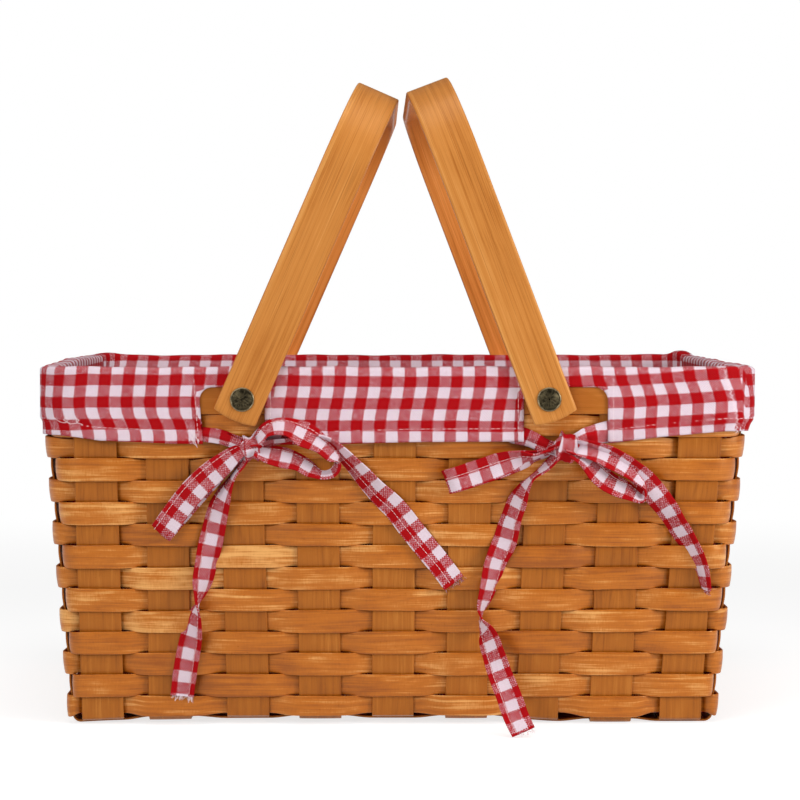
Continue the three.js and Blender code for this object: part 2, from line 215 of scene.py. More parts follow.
def cap_faces(m, ring):
    """Quads across one end of a sweep, from each point of one face to its twin on the other."""
    j = np.arange(m // 2 - 1)
    return np.stack([j, j + 1, m - 2 - j, m - 1 - j], 1) + ring * m


def sweep(name, points, along, across, finish, body="basket", wrap=False):
    """A closed strip: the rows of points are its cross-sections in turn. U is the length along it and V
    the place across it, both in millimetres."""
    n, m = points.shape[:2]
    faces, ci, cj = grid_faces(n, m, wrap, True)
    across = np.broadcast_to(across, (n, m))
    u = np.append(along, along[-1] + (along[-1] - along[-2]))[ci]
    v = across[ci % n, cj % m]
    uv = np.stack([u, v], -1)
    if not wrap:
        for ring in (0, n - 1):
            ends = cap_faces(m, ring)
            turned = ends if ring else ends[:, ::-1]
            faces = np.concatenate([faces, turned])
            at = turned % m
            uv = np.concatenate([uv, np.stack([np.full(at.shape, along[ring]), across[ring][at]], -1)])
    return add_piece(name, points, faces, uv, finish, body)


# Materials


class Wire:
    """A node's output, on which arithmetic adds Math nodes."""

    def __init__(self, finish, socket):
        self.finish, self.socket = finish, socket

    def math(self, operation, *values):
        places = dict(enumerate(values))
        return self.finish.node("ShaderNodeMath", {"operation": operation}, places)

    def __add__(self, other):
        return self.math("ADD", self, other)

    __radd__ = __add__

    def __sub__(self, other):
        return self.math("SUBTRACT", self, other)

    def __rsub__(self, other):
        return self.math("SUBTRACT", other, self)

    def __mul__(self, other):
        return self.math("MULTIPLY", self, other)

    __rmul__ = __mul__

    def __truediv__(self, other):
        return self.math("DIVIDE", self, other)

    def __pow__(self, other):
        return self.math("POWER", self, other)

    def __mod__(self, other):
        return self.math("FLOORED_MODULO", self, other)

    def step(self, low, high):
        """0 below low, 1 above high, and smooth between."""
        settings = {"interpolation_type": "SMOOTHSTEP"}
        return self.finish.node("ShaderNodeMapRange", settings, {0: self, 1: low, 2: high})


class Finish:
    """A material whose nodes are added one call at a time."""

    def __init__(self, name, **constants):
        self.material = bpy.data.materials.new(name)
        self.material.use_nodes = True
        self.tree = self.material.node_tree
        self.shader = self.tree.nodes["Principled BSDF"]
        for socket, value in constants.items():
            self.shader.inputs[socket.replace("_", " ")].default_value = value

    def feed(self, socket, value):
        if isinstance(value, Wire):
            self.tree.links.new(value.socket, socket)
        else:
            socket.default_value = value

    def node(self, kind, settings=None, values=None, output=0):
        """Adds a node: its settings or ramp stops first, then its sockets by name or place."""
        made = self.tree.nodes.new(kind)
        for key, value in (settings or {}).items():
            if key == "stops":
                for place, colour in value[2:]:
                    made.color_ramp.elements.new(place)
                for element, (place, colour) in zip(made.color_ramp.elements, sorted(value)):
                    element.position, element.color = place, (*colour, 1)
            else:
                setattr(made, key, value)
        for place, value in (values or {}).items():
            self.feed(made.inputs[place], value)
        return Wire(self, made.outputs[output])

    def paint(self, **values):
        for socket, value in values.items():
            self.feed(self.shader.inputs[socket.replace("_", " ")], value)

    def mix(self, share, a, b, kind="MIX"):
        """Two colours mixed by a share."""
        a, b = ((*c, 1) if isinstance(c, tuple) else c for c in (a, b))
        settings = {"data_type": "RGBA", "blend_type": kind}
        return self.node("ShaderNodeMix", settings, {0: share, 6: a, 7: b}, 2)

    def surface(self):
        """The piece's own U and V."""
        uv = self.node("ShaderNodeUVMap", {"uv_map": "UVMap"})
        return tuple(self.node("ShaderNodeSeparateXYZ", {}, {0: uv}, k) for k in (0, 1))

    def noise(self, x, y, detail=2.0, rough=0.5, twist=0.0):
        """Noise whose cells are one unit wide in the two coordinates given."""
        place = self.node("ShaderNodeCombineXYZ", {}, {0: x, 1: y})
        values = {"Vector": place, "Scale": 1.0, "Detail": detail, "Roughness": rough}
        return self.node("ShaderNodeTexNoise", {}, {**values, "Distortion": twist})

    def bump(self, height, depth, strength=1.0):
        """A bump whose height of 1 stands depth millimetres high."""
        values = {"Strength": strength, "Distance": depth * MM, "Height": height}
        self.paint(Normal=self.node("ShaderNodeBump", {}, values))


# V steps by this much from one handle to the next, and by half as much from its face to its inside
FACE_STEP = 90


def wood(
    name, colours, fibre, streak, patchy, gloss, cross=0.0, rings=0.1, rough=0.36, long=1.0,
    pores=(4.5, 0.2), inside=None,
):
    """Wood whose grain runs along U. Fine fibres, broader bands and slow clouds, each a noise drawn
    out along the strip, are added up and set the place between three colours. Growth rings are the
    crests of a sine across the strip whose phase wanders along it. Pores are thin dark dashes of a
    given length and strength. On a handle's inside faces, told by their V, the colour is multiplied by
    the inside tint: painted light reflected off the red cloth. fibre is the width of the finest grain,
    and long how far the grain is drawn out; the rest are strengths."""
    dark, middle, light = colours
    finish = Finish(
        name, Specular_IOR_Level=gloss, Specular_Tint=(1.0, 0.68, 0.34, 1), Coat_Weight=0.03,
        Coat_Roughness=0.2,
    )
    u, v = finish.surface()
    fibres = finish.noise(u / (26 * long), v / fibre, 3.0, 0.65)
    bands = finish.noise(u / (75 * long), v / (fibre * 5), 2.0, 0.5, 0.4)
    clouds = finish.noise(u / 22, v / 9, 2.0)
    slow = finish.noise(u / 150, v / 150, 1.0)
    across = finish.noise(u / 0.9, v / 4, 1.0)
    phase = (v / 3.1 + (finish.noise(u / 70, v / 16, 1.0) - 0.5) * 7) * (2 * np.pi)
    crests = phase.math("SINE", phase).step(0.25, 1.0)
    value = (
        0.52
        + (fibres - 0.5) * (1.7 * streak)
        + (bands - 0.5) * (1.9 * streak)
        + (clouds - 0.5) * (0.75 * patchy)
        + (slow - 0.5) * (1.2 * patchy)
        + (across - 0.5) * cross
        - crests * rings * (finish.noise(u / 60, v / 30, 1.0).step(0.4, 0.62))
    )
    colour = finish.mix(value.step(0.05, 0.57), dark, middle)
    colour = finish.mix(value.step(0.52, 0.98), colour, light)
    dash, strength = pores
    faint = 0.72 - 0.3 * strength
    dashes = finish.noise(u / dash, v / 0.55, 1.0).step(faint, faint + 0.12)
    colour = finish.mix(dashes * strength, colour, tuple(0.5 * c for c in dark))
    # Painted reflected light: a handle's inside faces, which face the basket's red cloth, are tinted
    # redder.
    if inside:
        past = v % FACE_STEP
        share = past.step(16, 22) - past.step(FACE_STEP - 22, FACE_STEP - 16)
        colour = finish.mix(share, colour, inside, "MULTIPLY")
    finish.paint(Base_Color=colour, Roughness=rough + (fibres - 0.5) * 0.3 + (across - 0.5) * 0.25)
    finish.bump(fibres * 0.6 + across * (cross + 0.25) + bands * 0.4, 0.2, 0.7)
    return finish.material


# The weavers' light colour is their palest grain made paler still, so the bright patches are partly
# painted sheen.
WEAVER_WOOD = wood(
    "weaver_wood", ((0.29, 0.058, 0.003), (0.50, 0.130, 0.006), (0.84, 0.42, 0.13)),
    fibre=0.42, streak=0.5, patchy=1.0, gloss=1.0, cross=0.2,
)
STAKE_WOOD = wood(
    "stake_wood", ((0.225, 0.048, 0.003), (0.40, 0.112, 0.009), (0.58, 0.21, 0.032)),
    fibre=0.5, streak=0.36, patchy=0.6, gloss=0.7,
)
HOOP_WOOD = wood(
    "hoop_wood", ((0.24, 0.055, 0.005), (0.41, 0.118, 0.013), (0.55, 0.19, 0.034)),
    fibre=0.5, streak=0.35, patchy=0.8, gloss=0.6,
)
# The handles' redder inside tint is painted light reflected off the red cloth.
HANDLE_WOOD = wood(
    "bent_wood", ((0.37, 0.102, 0.011), (0.58, 0.218, 0.044), (0.71, 0.32, 0.085)),
    fibre=0.62, streak=0.5, patchy=0.35, gloss=0.5, cross=0.05, rings=0.06, rough=0.4, long=3.5,
    pores=(60, 0.4), inside=(1.2, 1.02, 0.98),
)


# Woven body

EDGE_PHASE = 0.84
# How far each upright of a long wall is aside of its place, at the height DRIFT_FOOT and DRIFT_SPAN higher
DRIFT_FOOT = 15
DRIFT_SPAN = 149
DRIFT_LOW = np.array([0, -3.5, -0.6, -1.2, -1.5, -0.9, -1.3, -0.1, -1.5])
DRIFT_HIGH = np.array([-2.3, -3.5, -3.5, -2.5, -0.5, 0.5, 2.1, 1.5, 4.6])


def drift(upright, z):
    """How far an upright of a long wall is aside at a height: hand-set strips fan out unevenly."""
    share = np.clip((z - DRIFT_FOOT) / DRIFT_SPAN, 0, 1.2)
    return DRIFT_LOW[upright] + (DRIFT_HIGH - DRIFT_LOW)[upright] * share


def drift_across(upright, y, z):
    """The same for a whole crosswise strip: its back wall is the front's turned round, and the floor
    leads from one to the other."""
    share = np.clip(0.5 + 0.5 * y / HALF_WIDTH, 0, 1)
    return drift(upright, z) * (1 - share) - drift(LONG_STAKES - 1 - upright, z) * share


def middles(count, pitch):
    """The places of evenly spread strips about the middle."""
    return (np.arange(count) - (count - 1) / 2) * pitch


def ring_places(spacing, z):
    """Places round the body: the core point, the direction outwards, the length from the front left
    corner and, at a height, the phase of the weave, which is π at each upright and passes its edges at
    ±EDGE_PHASE."""
    core, out, along, phase = [], [], [], []
    start, first = 0.0, 0
    for quarter in range(4):
        long = quarter % 2 == 0
        run, depth = (HALF_LENGTH, HALF_WIDTH) if long else (HALF_WIDTH, HALF_LENGTH)
        stakes, pitch = (LONG_STAKES, LONG_PITCH) if long else (END_STAKES, END_PITCH)
        angle = quarter * np.pi / 2
        outward = outward_at(angle)
        way = quarter_turn(outward)
        s = np.linspace(-run, run, int(round(2 * run / spacing)) + 1)
        upright = np.arange(stakes)
        place = middles(stakes, pitch) + (drift(upright, z) if long else 0)
        half = STAKE_WIDTH / 2
        knots = (place[:, None] + np.array([-half, 0, half])).ravel()
        turn = np.pi * (first + upright)
        knot_phase = (turn[:, None] + np.array([-EDGE_PHASE, 0, EDGE_PHASE])).ravel()
        core.append(s[:, None] * way + depth * outward)
        out.append(np.repeat(outward[None], len(s), 0))
        along.append(start + s + run)
        phase.append(np.interp(s, knots, knot_phase))
        share = np.linspace(0, 1, 10)[1:-1]
        bend = angle + share * np.pi / 2
        core.append(np.repeat(core[-1][-1:], len(share), 0))
        out.append(outward_at(bend))
        arc = RIM_REACH * np.pi / 2
        along.append(start + 2 * run + share * arc)
        phase.append(share)
        start += 2 * run + arc
        first += stakes
    full = phase[0][0] + np.pi * first
    for k in (1, 3, 5, 7):
        last, after = phase[k - 1][-1], phase[k + 1][0] if k < 7 else full
        phase[k] = last + phase[k] * (after - last)
    return [np.concatenate(values) for values in (core, out, along, phase)]


RING_CORE, RING_OUT, RING_ALONG, RING_PHASE = ring_places(2.6, 0)
RING_LENGTH = 4 * (HALF_LENGTH + HALF_WIDTH) + 2 * np.pi * RIM_REACH
# 1 beside the corners, and 0 from the second upright on
RING_CORNER = ease(1 - (HALF_LENGTH + HALF_WIDTH - np.abs(RING_CORE).sum(1)) / 45)


def round_body(out, z):
    """Points round the body at distances out from its core and at heights z."""
    return with_z(RING_CORE[:, None] + RING_OUT[:, None] * out[..., None], z)


# Between two weavers, and how much and over which lengths their edges wander
ROW_GAP = 0.4
EDGE_WANDER = 0.28
WANDER_LENGTHS = (1329.0, 443.0, 190.0, 83.0)


def weave_wave(phase):
    """How far a weaver stands out of the wall's middle: a cosine made flatter by its third harmonic."""
    return -(2.45 * np.cos(phase) - 0.4 * np.cos(3 * phase))


def add_weaver(row):
    """A closed band round the body. It stands out and in by weave_wave. It is narrower where it dives
    under an upright, in the lowest row most of all, its lower edge hangs a little, and both wander by a
    ripple that neighbours share. Its ends meet behind an upright of the back."""
    phase = ring_places(2.6, ROW_START + (row + 0.5) * ROW_PITCH)[3] + np.pi * row
    wave = weave_wave(phase) * (1 + ripple(RING_ALONG, 40 + row, (210, 133), 0.05))
    loose = np.where(wave > 0, 0.35 - 0.02 * row, 1.1) * RING_CORNER
    wave = wave * (1 + loose) if row < ROWS - 1 else wave * 0.85
    outside = ease(0.5 + wave / 3.5)
    below, above = (ripple(RING_ALONG, row + k, WANDER_LENGTHS, EDGE_WANDER) for k in (0, 1))
    low = ROW_START + row * ROW_PITCH + below * (row > 0)
    high = ROW_START + (row + 1) * ROW_PITCH - ROW_GAP + above * (row < ROWS - 1)
    emerged = ease(0.9 + wave / 2.2)
    low = low - (0.5 if row < ROWS - 2 else 0) * outside - 0.3 * emerged + 0.2 * (1 - emerged)
    high = high + 0.2 * outside - 0.8 * (1 - emerged)
    if row == 0:
        low = low + 1.5 * (1 - ease((wave + 0.6) / 3))
    share, inset, depth = edge_profile(radius=0.38, thickness=STRIP)
    middle, half = (high + low)[:, None] / 2, (high - low)[:, None] / 2
    up = share * half - inset
    crown = 0.45 * (1 - (up / half) ** 2)
    tip = ripple(RING_ALONG, 70 + row, (97.0, 61.0), 0.035)[:, None] * up
    z = middle + up
    out = reach(z) + wave[:, None] + depth + crown + tip
    points = settle(round_body(out, z))
    seam = np.searchsorted(RING_PHASE, np.pi * (16 + row % 2))
    points, up = np.roll(points, -seam, 0), np.roll(up, -seam, 0)
    along = np.roll((RING_ALONG - RING_ALONG[seam]) % RING_LENGTH, -seam) + 1713.0 * row
    band = sweep(
        f"weaver_band_{row + 1:02d}", points, along, up + 211.0 * row, WEAVER_WOOD, wrap=True
    )
    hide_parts(f"weaver_{row + 1:02d}")


def stake_path(span, crossed, is_over, wall_phase):
    """A stake seen edge on, from the top of one wall, along the floor and up the other wall. In a wall it
    is pressed in where a weaver lies over it, by a cosine of the height; in the floor its height eases
    from one of the crossed strips' middles to the next."""
    levels = np.array([FLOOR_HIGH if is_over(k) else FLOOR_LOW for k in range(len(crossed))])
    flat_half = STAKE_WIDTH / 2 + 0.5

    def wall(level, phase):
        bend = STAKE_BENDS[level]
        z = np.linspace(HOOP_TOP - GAP, level + bend, 96)
        row = (z - ROW_START) / ROW_PITCH - 0.5
        press = STAKE_PRESS * np.cos(np.pi * (phase + row))
        press *= ease((HOOP_BOTTOM - z) / 6) * ease((z - ROW_START) / 6)
        upright = np.stack([span + reach(z) + press, z], 1)
        turn = np.linspace(0, np.pi / 2, 8)[1:]
        foot = upright[-1]
        curve = foot + bend * np.stack([np.cos(turn) - 1, -np.sin(turn)], 1)
        return np.concatenate([upright, curve])

    left = wall(levels[0], wall_phase[0])
    right = wall(levels[-1], wall_phase[1])[::-1]
    across = np.linspace(-left[-1, 0] + 2, right[0, 0] - 2, 110)
    gap_start = crossed[:-1] + flat_half
    gap_end = crossed[1:] - flat_half
    height = np.full(across.shape, levels[0])
    for k in range(len(crossed) - 1):
        share = ease((across - gap_start[k]) / (gap_end[k] - gap_start[k]))
        height = height + (levels[k + 1] - levels[k]) * share
    floor = np.stack([across, height], 1)
    return np.concatenate([left * [-1, 1], floor, right])


def add_stake(name, node, line, place, lengthwise, seed):
    """A flat strip led along its edge-on line, across which its cross-section is set square."""
    square = quarter_turn(unit(np.gradient(line, axis=0)))
    length = lengths_along(line)
    share, inset, depth = edge_profile(radius=0.36, thickness=STRIP)
    half = STAKE_WIDTH / 2 + ripple(length, 200 + seed, (171.0, 67.0), 0.14)
    aside = share * half[:, None] - inset
    crown = -0.12 * (1 - (aside / half[:, None]) ** 2)
    edge_on = line[:, None] + square[:, None] * (depth + crown)[..., None]
    if lengthwise:
        x, y = edge_on[..., 0], aside + place
    else:
        x, y = aside + place + drift_across(seed, line[:, :1], line[:, 1:]), edge_on[..., 0]
    points = settle(np.stack([x, y, edge_on[..., 1]], -1))
    strip = sweep(name, points, length + 617.0 * seed, aside + 173.0 * seed, STAKE_WOOD)
    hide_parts(node)


for row in range(ROWS):
    add_weaver(row)
for i, place in enumerate(middles(LONG_STAKES, LONG_PITCH)):
    line = stake_path(
        HALF_WIDTH, middles(END_STAKES, END_PITCH), lambda j: (i + j) % 2 == 0,
        (i, 2 * LONG_STAKES + 5 - i),
    )
    add_stake(f"crosswise_strip_{i + 1}", f"crosswise_stake_{i + 1}", line, place, False, i)
for j, place in enumerate(middles(END_STAKES, END_PITCH)):
    crossed = middles(LONG_STAKES, LONG_PITCH) + drift_across(np.arange(LONG_STAKES), place, 0)
    line = stake_path(HALF_LENGTH, crossed, lambda i: (i + j) % 2 == 1, (29 - j, 9 + j))
    add_stake(f"lengthwise_strip_{j + 1}", f"lengthwise_stake_{j + 1}", line, place, True, 20 + j)


def add_hoop(name, node, inside, outside, seed):
    """A flat band bent round the rim, with rounded edges."""
    share, inset, depth = edge_profile(radius=0.8, thickness=outside - inside)
    half = (HOOP_TOP - HOOP_BOTTOM) / 2
    up = share * half - inset
    points = round_body(RIM_REACH + (inside + outside) / 2 + depth, HOOP_BOTTOM + half + up)
    band = sweep(name, points, RING_ALONG + 400 * seed, up + 150 * seed, HOOP_WOOD, wrap=True)
    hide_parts(node)


add_hoop("outer_hoop_band", "outer_rim_hoop", HOOP_INSIDE, HOOP_OUTSIDE, 41)
add_hoop("inner_hoop_band", "inner_rim_hoop", -HOOP_OUTSIDE, -HOOP_INSIDE, 42)


# Handles


def handle_line():
    """The middle of a handle seen from its end: a leg, a quarter circle, the grip, a quarter circle and
    a leg, from the front rivet's height to the back one's."""
    rise = HANDLE_REACH - HANDLE_THICKNESS / 2
    leg = np.linspace(0, rise - HANDLE_BEND, 60)[:-1]
    turn = np.linspace(0, np.pi / 2, 22)
    front = np.concatenate([
        np.stack([np.full(leg.shape, -LEG_MIDDLE), leg], 1),
        np.stack([
            -LEG_MIDDLE + HANDLE_BEND * (1 - np.cos(turn)),
            rise - HANDLE_BEND * (1 - np.sin(turn)),
        ], 1),
    ])
    grip = np.linspace(front[-1, 0], -front[-1, 0], 34)[1:-1]
    top = np.stack([grip, np.full(grip.shape, rise)], 1)
    return np.concatenate([front, top, (front * [-1, 1])[::-1]])


def turned(points, side, lean):
    """Handle points, set about the rivets' line at the origin, leant and put in place."""
    x, y, z = np.moveaxis(points, -1, 0)
    return np.stack([
        side * PIVOT_X + x * np.cos(lean) + z * np.sin(lean),
        y,
        PIVOT_Z - x * np.sin(lean) + z * np.cos(lean),
    ], -1)


def add_handle(word, side, lean):
    """A steam-bent strip with rounded edges, led along handle_line. Past its rivets each leg ends in a
    shallow curve of radius R across its width, with its edge rounded over the last millimetre."""
    line = handle_line()
    square = quarter_turn(unit(np.gradient(line, axis=0)))
    share, inset, depth = edge_profile(HANDLE_EDGE, HANDLE_THICKNESS, middles=7)
    half = HANDLE_WIDTH / 2
    aside = share * half - inset
    edge_on = line[:, None] + square[:, None] * depth[None, :, None]
    middle = np.stack([
        np.broadcast_to(aside, edge_on.shape[:2]), edge_on[..., 0], edge_on[..., 1]
    ], -1)
    radius = (half**2 + HANDLE_CROWN**2) / (2 * HANDLE_CROWN)
    end = HANDLE_TAIL + HANDLE_CROWN - radius + np.sqrt(radius**2 - aside**2)
    # Shares of the way from a rivet to the leg's end, and how far the edge is rounded off there
    steps = np.array([0.35, 0.7, 1 - HANDLE_EDGE / 13, 1 - 0.4 / 13, 1.0])
    shrink = np.array([0, 0, 0, 0.35, HANDLE_EDGE])
    tail = []
    for step, less in zip(steps, shrink):
        narrow = aside - np.sign(aside) * less * (np.abs(aside) > half - 4)
        thin = depth * (1 - less / (HANDLE_THICKNESS / 2))
        tail.append(np.stack([narrow, -LEG_MIDDLE - thin, -step * end], -1))
    tail = np.stack(tail)
    back_tail = tail * [1, -1, 1]
    points = np.concatenate([tail[::-1], middle, back_tail])
    length = lengths_along(points.mean(1))
    seed = 61 if side < 0 else 64
    strip = sweep(
        f"{word}_bail", turned(points, side, lean), length + 300 * seed,
        aside + FACE_STEP * (seed + 0.5 * (depth < 0)), HANDLE_WOOD, f"{word}_bail",
    )
    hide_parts(f"{word}_handle")


add_handle("left", -1, LEFT_LEAN)
add_handle("right", 1, -RIGHT_LEAN)


# Cloth

STRIPE_ALONG = 6.92
STRIPE_DOWN = 6.39
THREADS = 9.0


def gingham(name, red, white):
    """Checked cotton. U and V count stripes: where sin(πU) is positive the upright threads are red, and
    where sin(πV) is positive the level ones are. The two kinds take turns on top, thread by thread."""
    finish = Finish(name, Roughness=0.9, Specular_IOR_Level=0.12)
    u, v = finish.surface()
    thread_u, thread_v = ((w * (np.pi * THREADS)).math("SINE", w * (np.pi * THREADS)) for w in (u, v))
    stray_u = (finish.noise(u * 0.6, v * 9.0, 1.0) - 0.5) * 0.12 + thread_v * 0.03
    stray_v = (finish.noise(u * 9.0, v * 0.6, 1.0) - 0.5) * 0.12 + thread_u * 0.03
    wave_u, wave_v = ((w * np.pi).math("SINE", w * np.pi) for w in (u + stray_u, v + stray_v))
    red_u, red_v = (w.step(-0.08, 0.08) for w in (wave_u, wave_v))
    on_top = (thread_u * thread_v).step(-0.3, 0.3)
    fuzz = finish.noise(u * 6.0, v * 6.0, 3.0, 0.7)
    slub = finish.noise(u * 1.8, v * 14.0, 2.0) + finish.noise(u * 14.0, v * 1.8, 2.0) - 1.0
    both = red_u * red_v
    none = (1 - red_u) * (1 - red_v)
    crossed = 1 - both - none
    share = red_u * on_top + red_v * (1 - on_top)
    mottled = (share * 0.4 + 0.62 + (fuzz - 0.5) * 1.3 + slub * 0.8).step(0.0, 1.05)
    strength = both + crossed * mottled + none * ((fuzz - 0.5) * 0.2 + slub * 0.15 + 0.02)
    colour = finish.mix(strength, white, red)
    # Painted shade: the colour is darkened towards a dark red in slow blotches, with the fuzz, and a
    # little more on the crossed squares, for the shadow among the threads.
    shade = finish.noise(u * 0.5, v * 0.5, 2.0) * 0.14 + fuzz * 0.16 + crossed * 0.01
    colour = finish.mix(shade, colour, tuple(0.4 * c for c in red))
    finish.paint(Base_Color=colour)
    finish.bump(thread_u * thread_v * 0.5 + fuzz * 1.2 + slub * 0.8, 0.14, 0.7)
    return finish.material


GINGHAM = gingham("gingham_cotton", (0.43, 0.003, 0.006), (0.83, 0.71, 0.79))


def thread_cotton():
    """Sewing cotton: pinkish white, twisted across its length."""
    finish = Finish("sewing_cotton", Roughness=0.8)
    u, v = finish.surface()
    finish.paint(Base_Color=finish.mix(finish.noise(u, v, 1.0), (0.80, 0.62, 0.66), (0.92, 0.86, 0.86)))
    return finish.material


SEWING_COTTON = thread_cotton()


def add_threads(name, middle, way, up, length, radius, finish=SEWING_COTTON, body="basket"):
    """Short threads, all in one mesh. Each is a six-sided rod of four rings, thin at its two ends,
    which lie lower than its middle."""
    count = len(middle)
    place = np.array([-0.5, -0.36, 0.36, 0.5])
    thick = np.array([0.4, 1.0, 1.0, 0.4])
    dip = np.array([-0.8, 0.0, 0.0, -0.8])
    turn = np.arange(6) * np.pi / 3
    side = np.cross(way, up)
    length = np.broadcast_to(length, (count,))
    spine = middle[:, None] + way[:, None] * (length[:, None] * place)[..., None]
    spine = spine + up[:, None] * (radius * dip)[None, :, None]
    around = up[:, None] * np.cos(turn)[None, :, None] + side[:, None] * np.sin(turn)[None, :, None]
    points = spine[:, :, None] + around[:, None] * (radius * thick)[None, :, None, None]
    rod = grid_faces(4, 6, False, True)[0][:, ::-1]
    ends = np.array([[0, 1, 2, 3], [0, 3, 4, 5]])
    rod = np.concatenate([rod, ends, ends[:, ::-1] + 18])
    faces = (rod[None] + 24 * np.arange(count)[:, None, None]).reshape(-1, 4)
    uv = np.stack([faces * 0.37, faces * 0.11], -1)
    return add_piece(name, points, faces, uv, finish, body)


# The liner. Places along a long wall are x in front, and the back is the front turned round. A length
# round the skirt starts at the middle of the front.
SKIRT_REACH = RIM_REACH + 4.1
BAG_REACH = RIM_REACH - 5.8
BAG_LEAN = 0.0703
RIM_TOP = 209.4
RIM_BEND = 2.0
RIM_FOOT = RIM_TOP - RIM_BEND
HALF_ROUND = 2 * (HALF_LENGTH + HALF_WIDTH) + np.pi * SKIRT_REACH
NEXT_WALL = HALF_ROUND - HALF_LENGTH
HEM_PLACES = [-183.5, -171, -125, -50, 8, 66, 125, 152, 190, 320, NEXT_WALL - 12, NEXT_WALL]
HEM_HEIGHTS = [169.4, 167.6, 165.6, 165.0, 166.6, 166.8, 166.0, 169.4, 172.8, 169.0, 170.6, 169.4]
PANEL_PLACES = [-183.5, -113, -76, 74, 122, 183.5, NEXT_WALL]
PANELS = ([1, 1, 0, 0, 0, 0, 1], [0, 0, 1, 1, 0, 0, 0], [0, 0, 0, 0, 1, 1, 0])
BEND_HEIGHTS = [170.8, 176.5, 182.9, 189.2, 196.1, 202.5, 208.3]
BENDS = (
    [3.46, 1.73, -1.21, -2.19, -1.33, -0.58, 0],
    [-4.15, -4.38, -3.4, -2.08, -0.69, 0.06, 0],
    [5.25, 4.9, 5.48, 5.83, 3.92, 1.1, 0],
)
COLUMN_START = 229.1
RED_ROW_TOP = 205.2
ROW_LIFT = (
    [-150, -100, -35, 20, 60, 100, 135, 152, 175, 192],
    [0.5, 0.5, -0.5, -0.6, -1.0, -0.7, 0.2, 1.4, 2.8, 4.2],
)
COLUMN_SLACK = (
    [HALF_LENGTH - 2 * HALF_ROUND, -HALF_LENGTH - HALF_ROUND, HALF_LENGTH - HALF_ROUND, -142, 110, 190],
    [0, 6.6, -6.6, 0, 7.7, 11.7],
)
CUTOUTS = ((-113.3, -75.2), (73.8, 122.3))
CUTOUT_TOP = 198.2
CUTOUT_CORNER = 8.0
CUTOUT_HEM = 4.2
# Where the edge over the hoops stands higher: by how much, at which length round the skirt, how widely
RIM_RISES = (
    (3.0, -HALF_ROUND - 202, 9),
    (1.2, -HALF_ROUND + 196, 11),
    (2.4, 345, 75),
    (1.2, -HALF_ROUND + 330, 75),
)
# The liner's points are this far apart, and this far about the cut-outs
COARSE_STEP = 4.2
FINE_STEP = 1.2
# Rows of points in the skirt, and from there to the inner edge over the hoops
SKIRT_ROWS = 33
RIM_ROWS = 7
CLOTH = 0.8
HEM = 7.4
STITCH_STEP = 3.1


def liner_ring():
    """Places round the liner, from its front right corner and back to it: the core point, the direction
    outwards and the length round the skirt from the middle of the front."""
    stops = [-HALF_LENGTH, -118.5, -70, 68.5, 127.5, HALF_LENGTH]
    steps = [COARSE_STEP, FINE_STEP, COARSE_STEP, FINE_STEP, COARSE_STEP]
    counts = [int(round((b - a) / step)) for a, b, step in zip(stops, stops[1:], steps)]
    runs = [np.linspace(a, b, k + 1)[:-1] for a, b, k in zip(stops, stops[1:], counts)]
    walls = (np.concatenate([*runs, [HALF_LENGTH]]), np.linspace(-HALF_WIDTH, HALF_WIDTH, 56))
    core, out, along = [], [], []
    start = HALF_LENGTH - 2 * HALF_ROUND
    share = np.linspace(0, 1, 13)
    for quarter in range(5):
        angle = quarter * np.pi / 2
        half, depth = (HALF_LENGTH, HALF_WIDTH)[:: -1 if quarter % 2 else 1]
        outward = outward_at(angle)
        way = quarter_turn(outward)
        if quarter:
            places = walls[quarter % 2]
            core.append(places[:, None] * way + depth * outward)
            out.append(np.repeat(outward[None], len(places), 0))
            along.append(start + places + half)
            start += 2 * half
        turn = share[6:-1] if quarter == 0 else share[1:6] if quarter == 4 else share[1:-1]
        bend = angle + turn * np.pi / 2
        core.append(np.repeat((half * way + depth * outward)[None], len(turn), 0))
        out.append(outward_at(bend))
        along.append(start + turn * SKIRT_REACH * np.pi / 2)
        start += SKIRT_REACH * np.pi / 2
    return [np.concatenate(values) for values in (core, out, along)]


LINER_CORE, LINER_OUT, LINER_ALONG = liner_ring()


def on_wall(along):
    """The same length from the middle of the long wall that was last begun: front and back match."""
    return (along + HALF_LENGTH) % HALF_ROUND - HALF_LENGTH


def hem_height(along):
    """The height of the skirt's lower edge."""
    return np.interp(on_wall(along), HEM_PLACES, HEM_HEIGHTS)


def corner_seam(z):
    """The length round the skirt at which its seam lies: it crosses the front right corner aslant."""
    return HALF_LENGTH + SKIRT_REACH * DEG * np.interp(z, [170, 209], [36, 11])


def cutout_lean(x, z):
    """How far a cut-out's edge is aside at a height. Only the left edge of the first one leans."""
    return 2.2 * (CUTOUT_TOP - z) / 30 * ease((-90 - x) / 14)


def cutout_distance(along, z):
    """How far a place on the skirt is outside the nearest cut-out, negative inside: a box with rounded
    top corners and no lower end."""
    x = on_wall(along)
    distance = np.full(np.broadcast(x, z).shape, 1e3)
    for left, right in CUTOUTS:
        middle = (left + right) / 2 + cutout_lean(x, z)
        reach_x = np.abs(x - middle) - (right - left) / 2 + CUTOUT_CORNER
        reach_z = z - CUTOUT_TOP + CUTOUT_CORNER
        outside = np.hypot(np.maximum(reach_x, 0), np.maximum(reach_z, 0))
        box = outside + np.minimum(np.maximum(reach_x, reach_z), 0) - CUTOUT_CORNER
        distance = np.minimum(distance, box)
    return distance


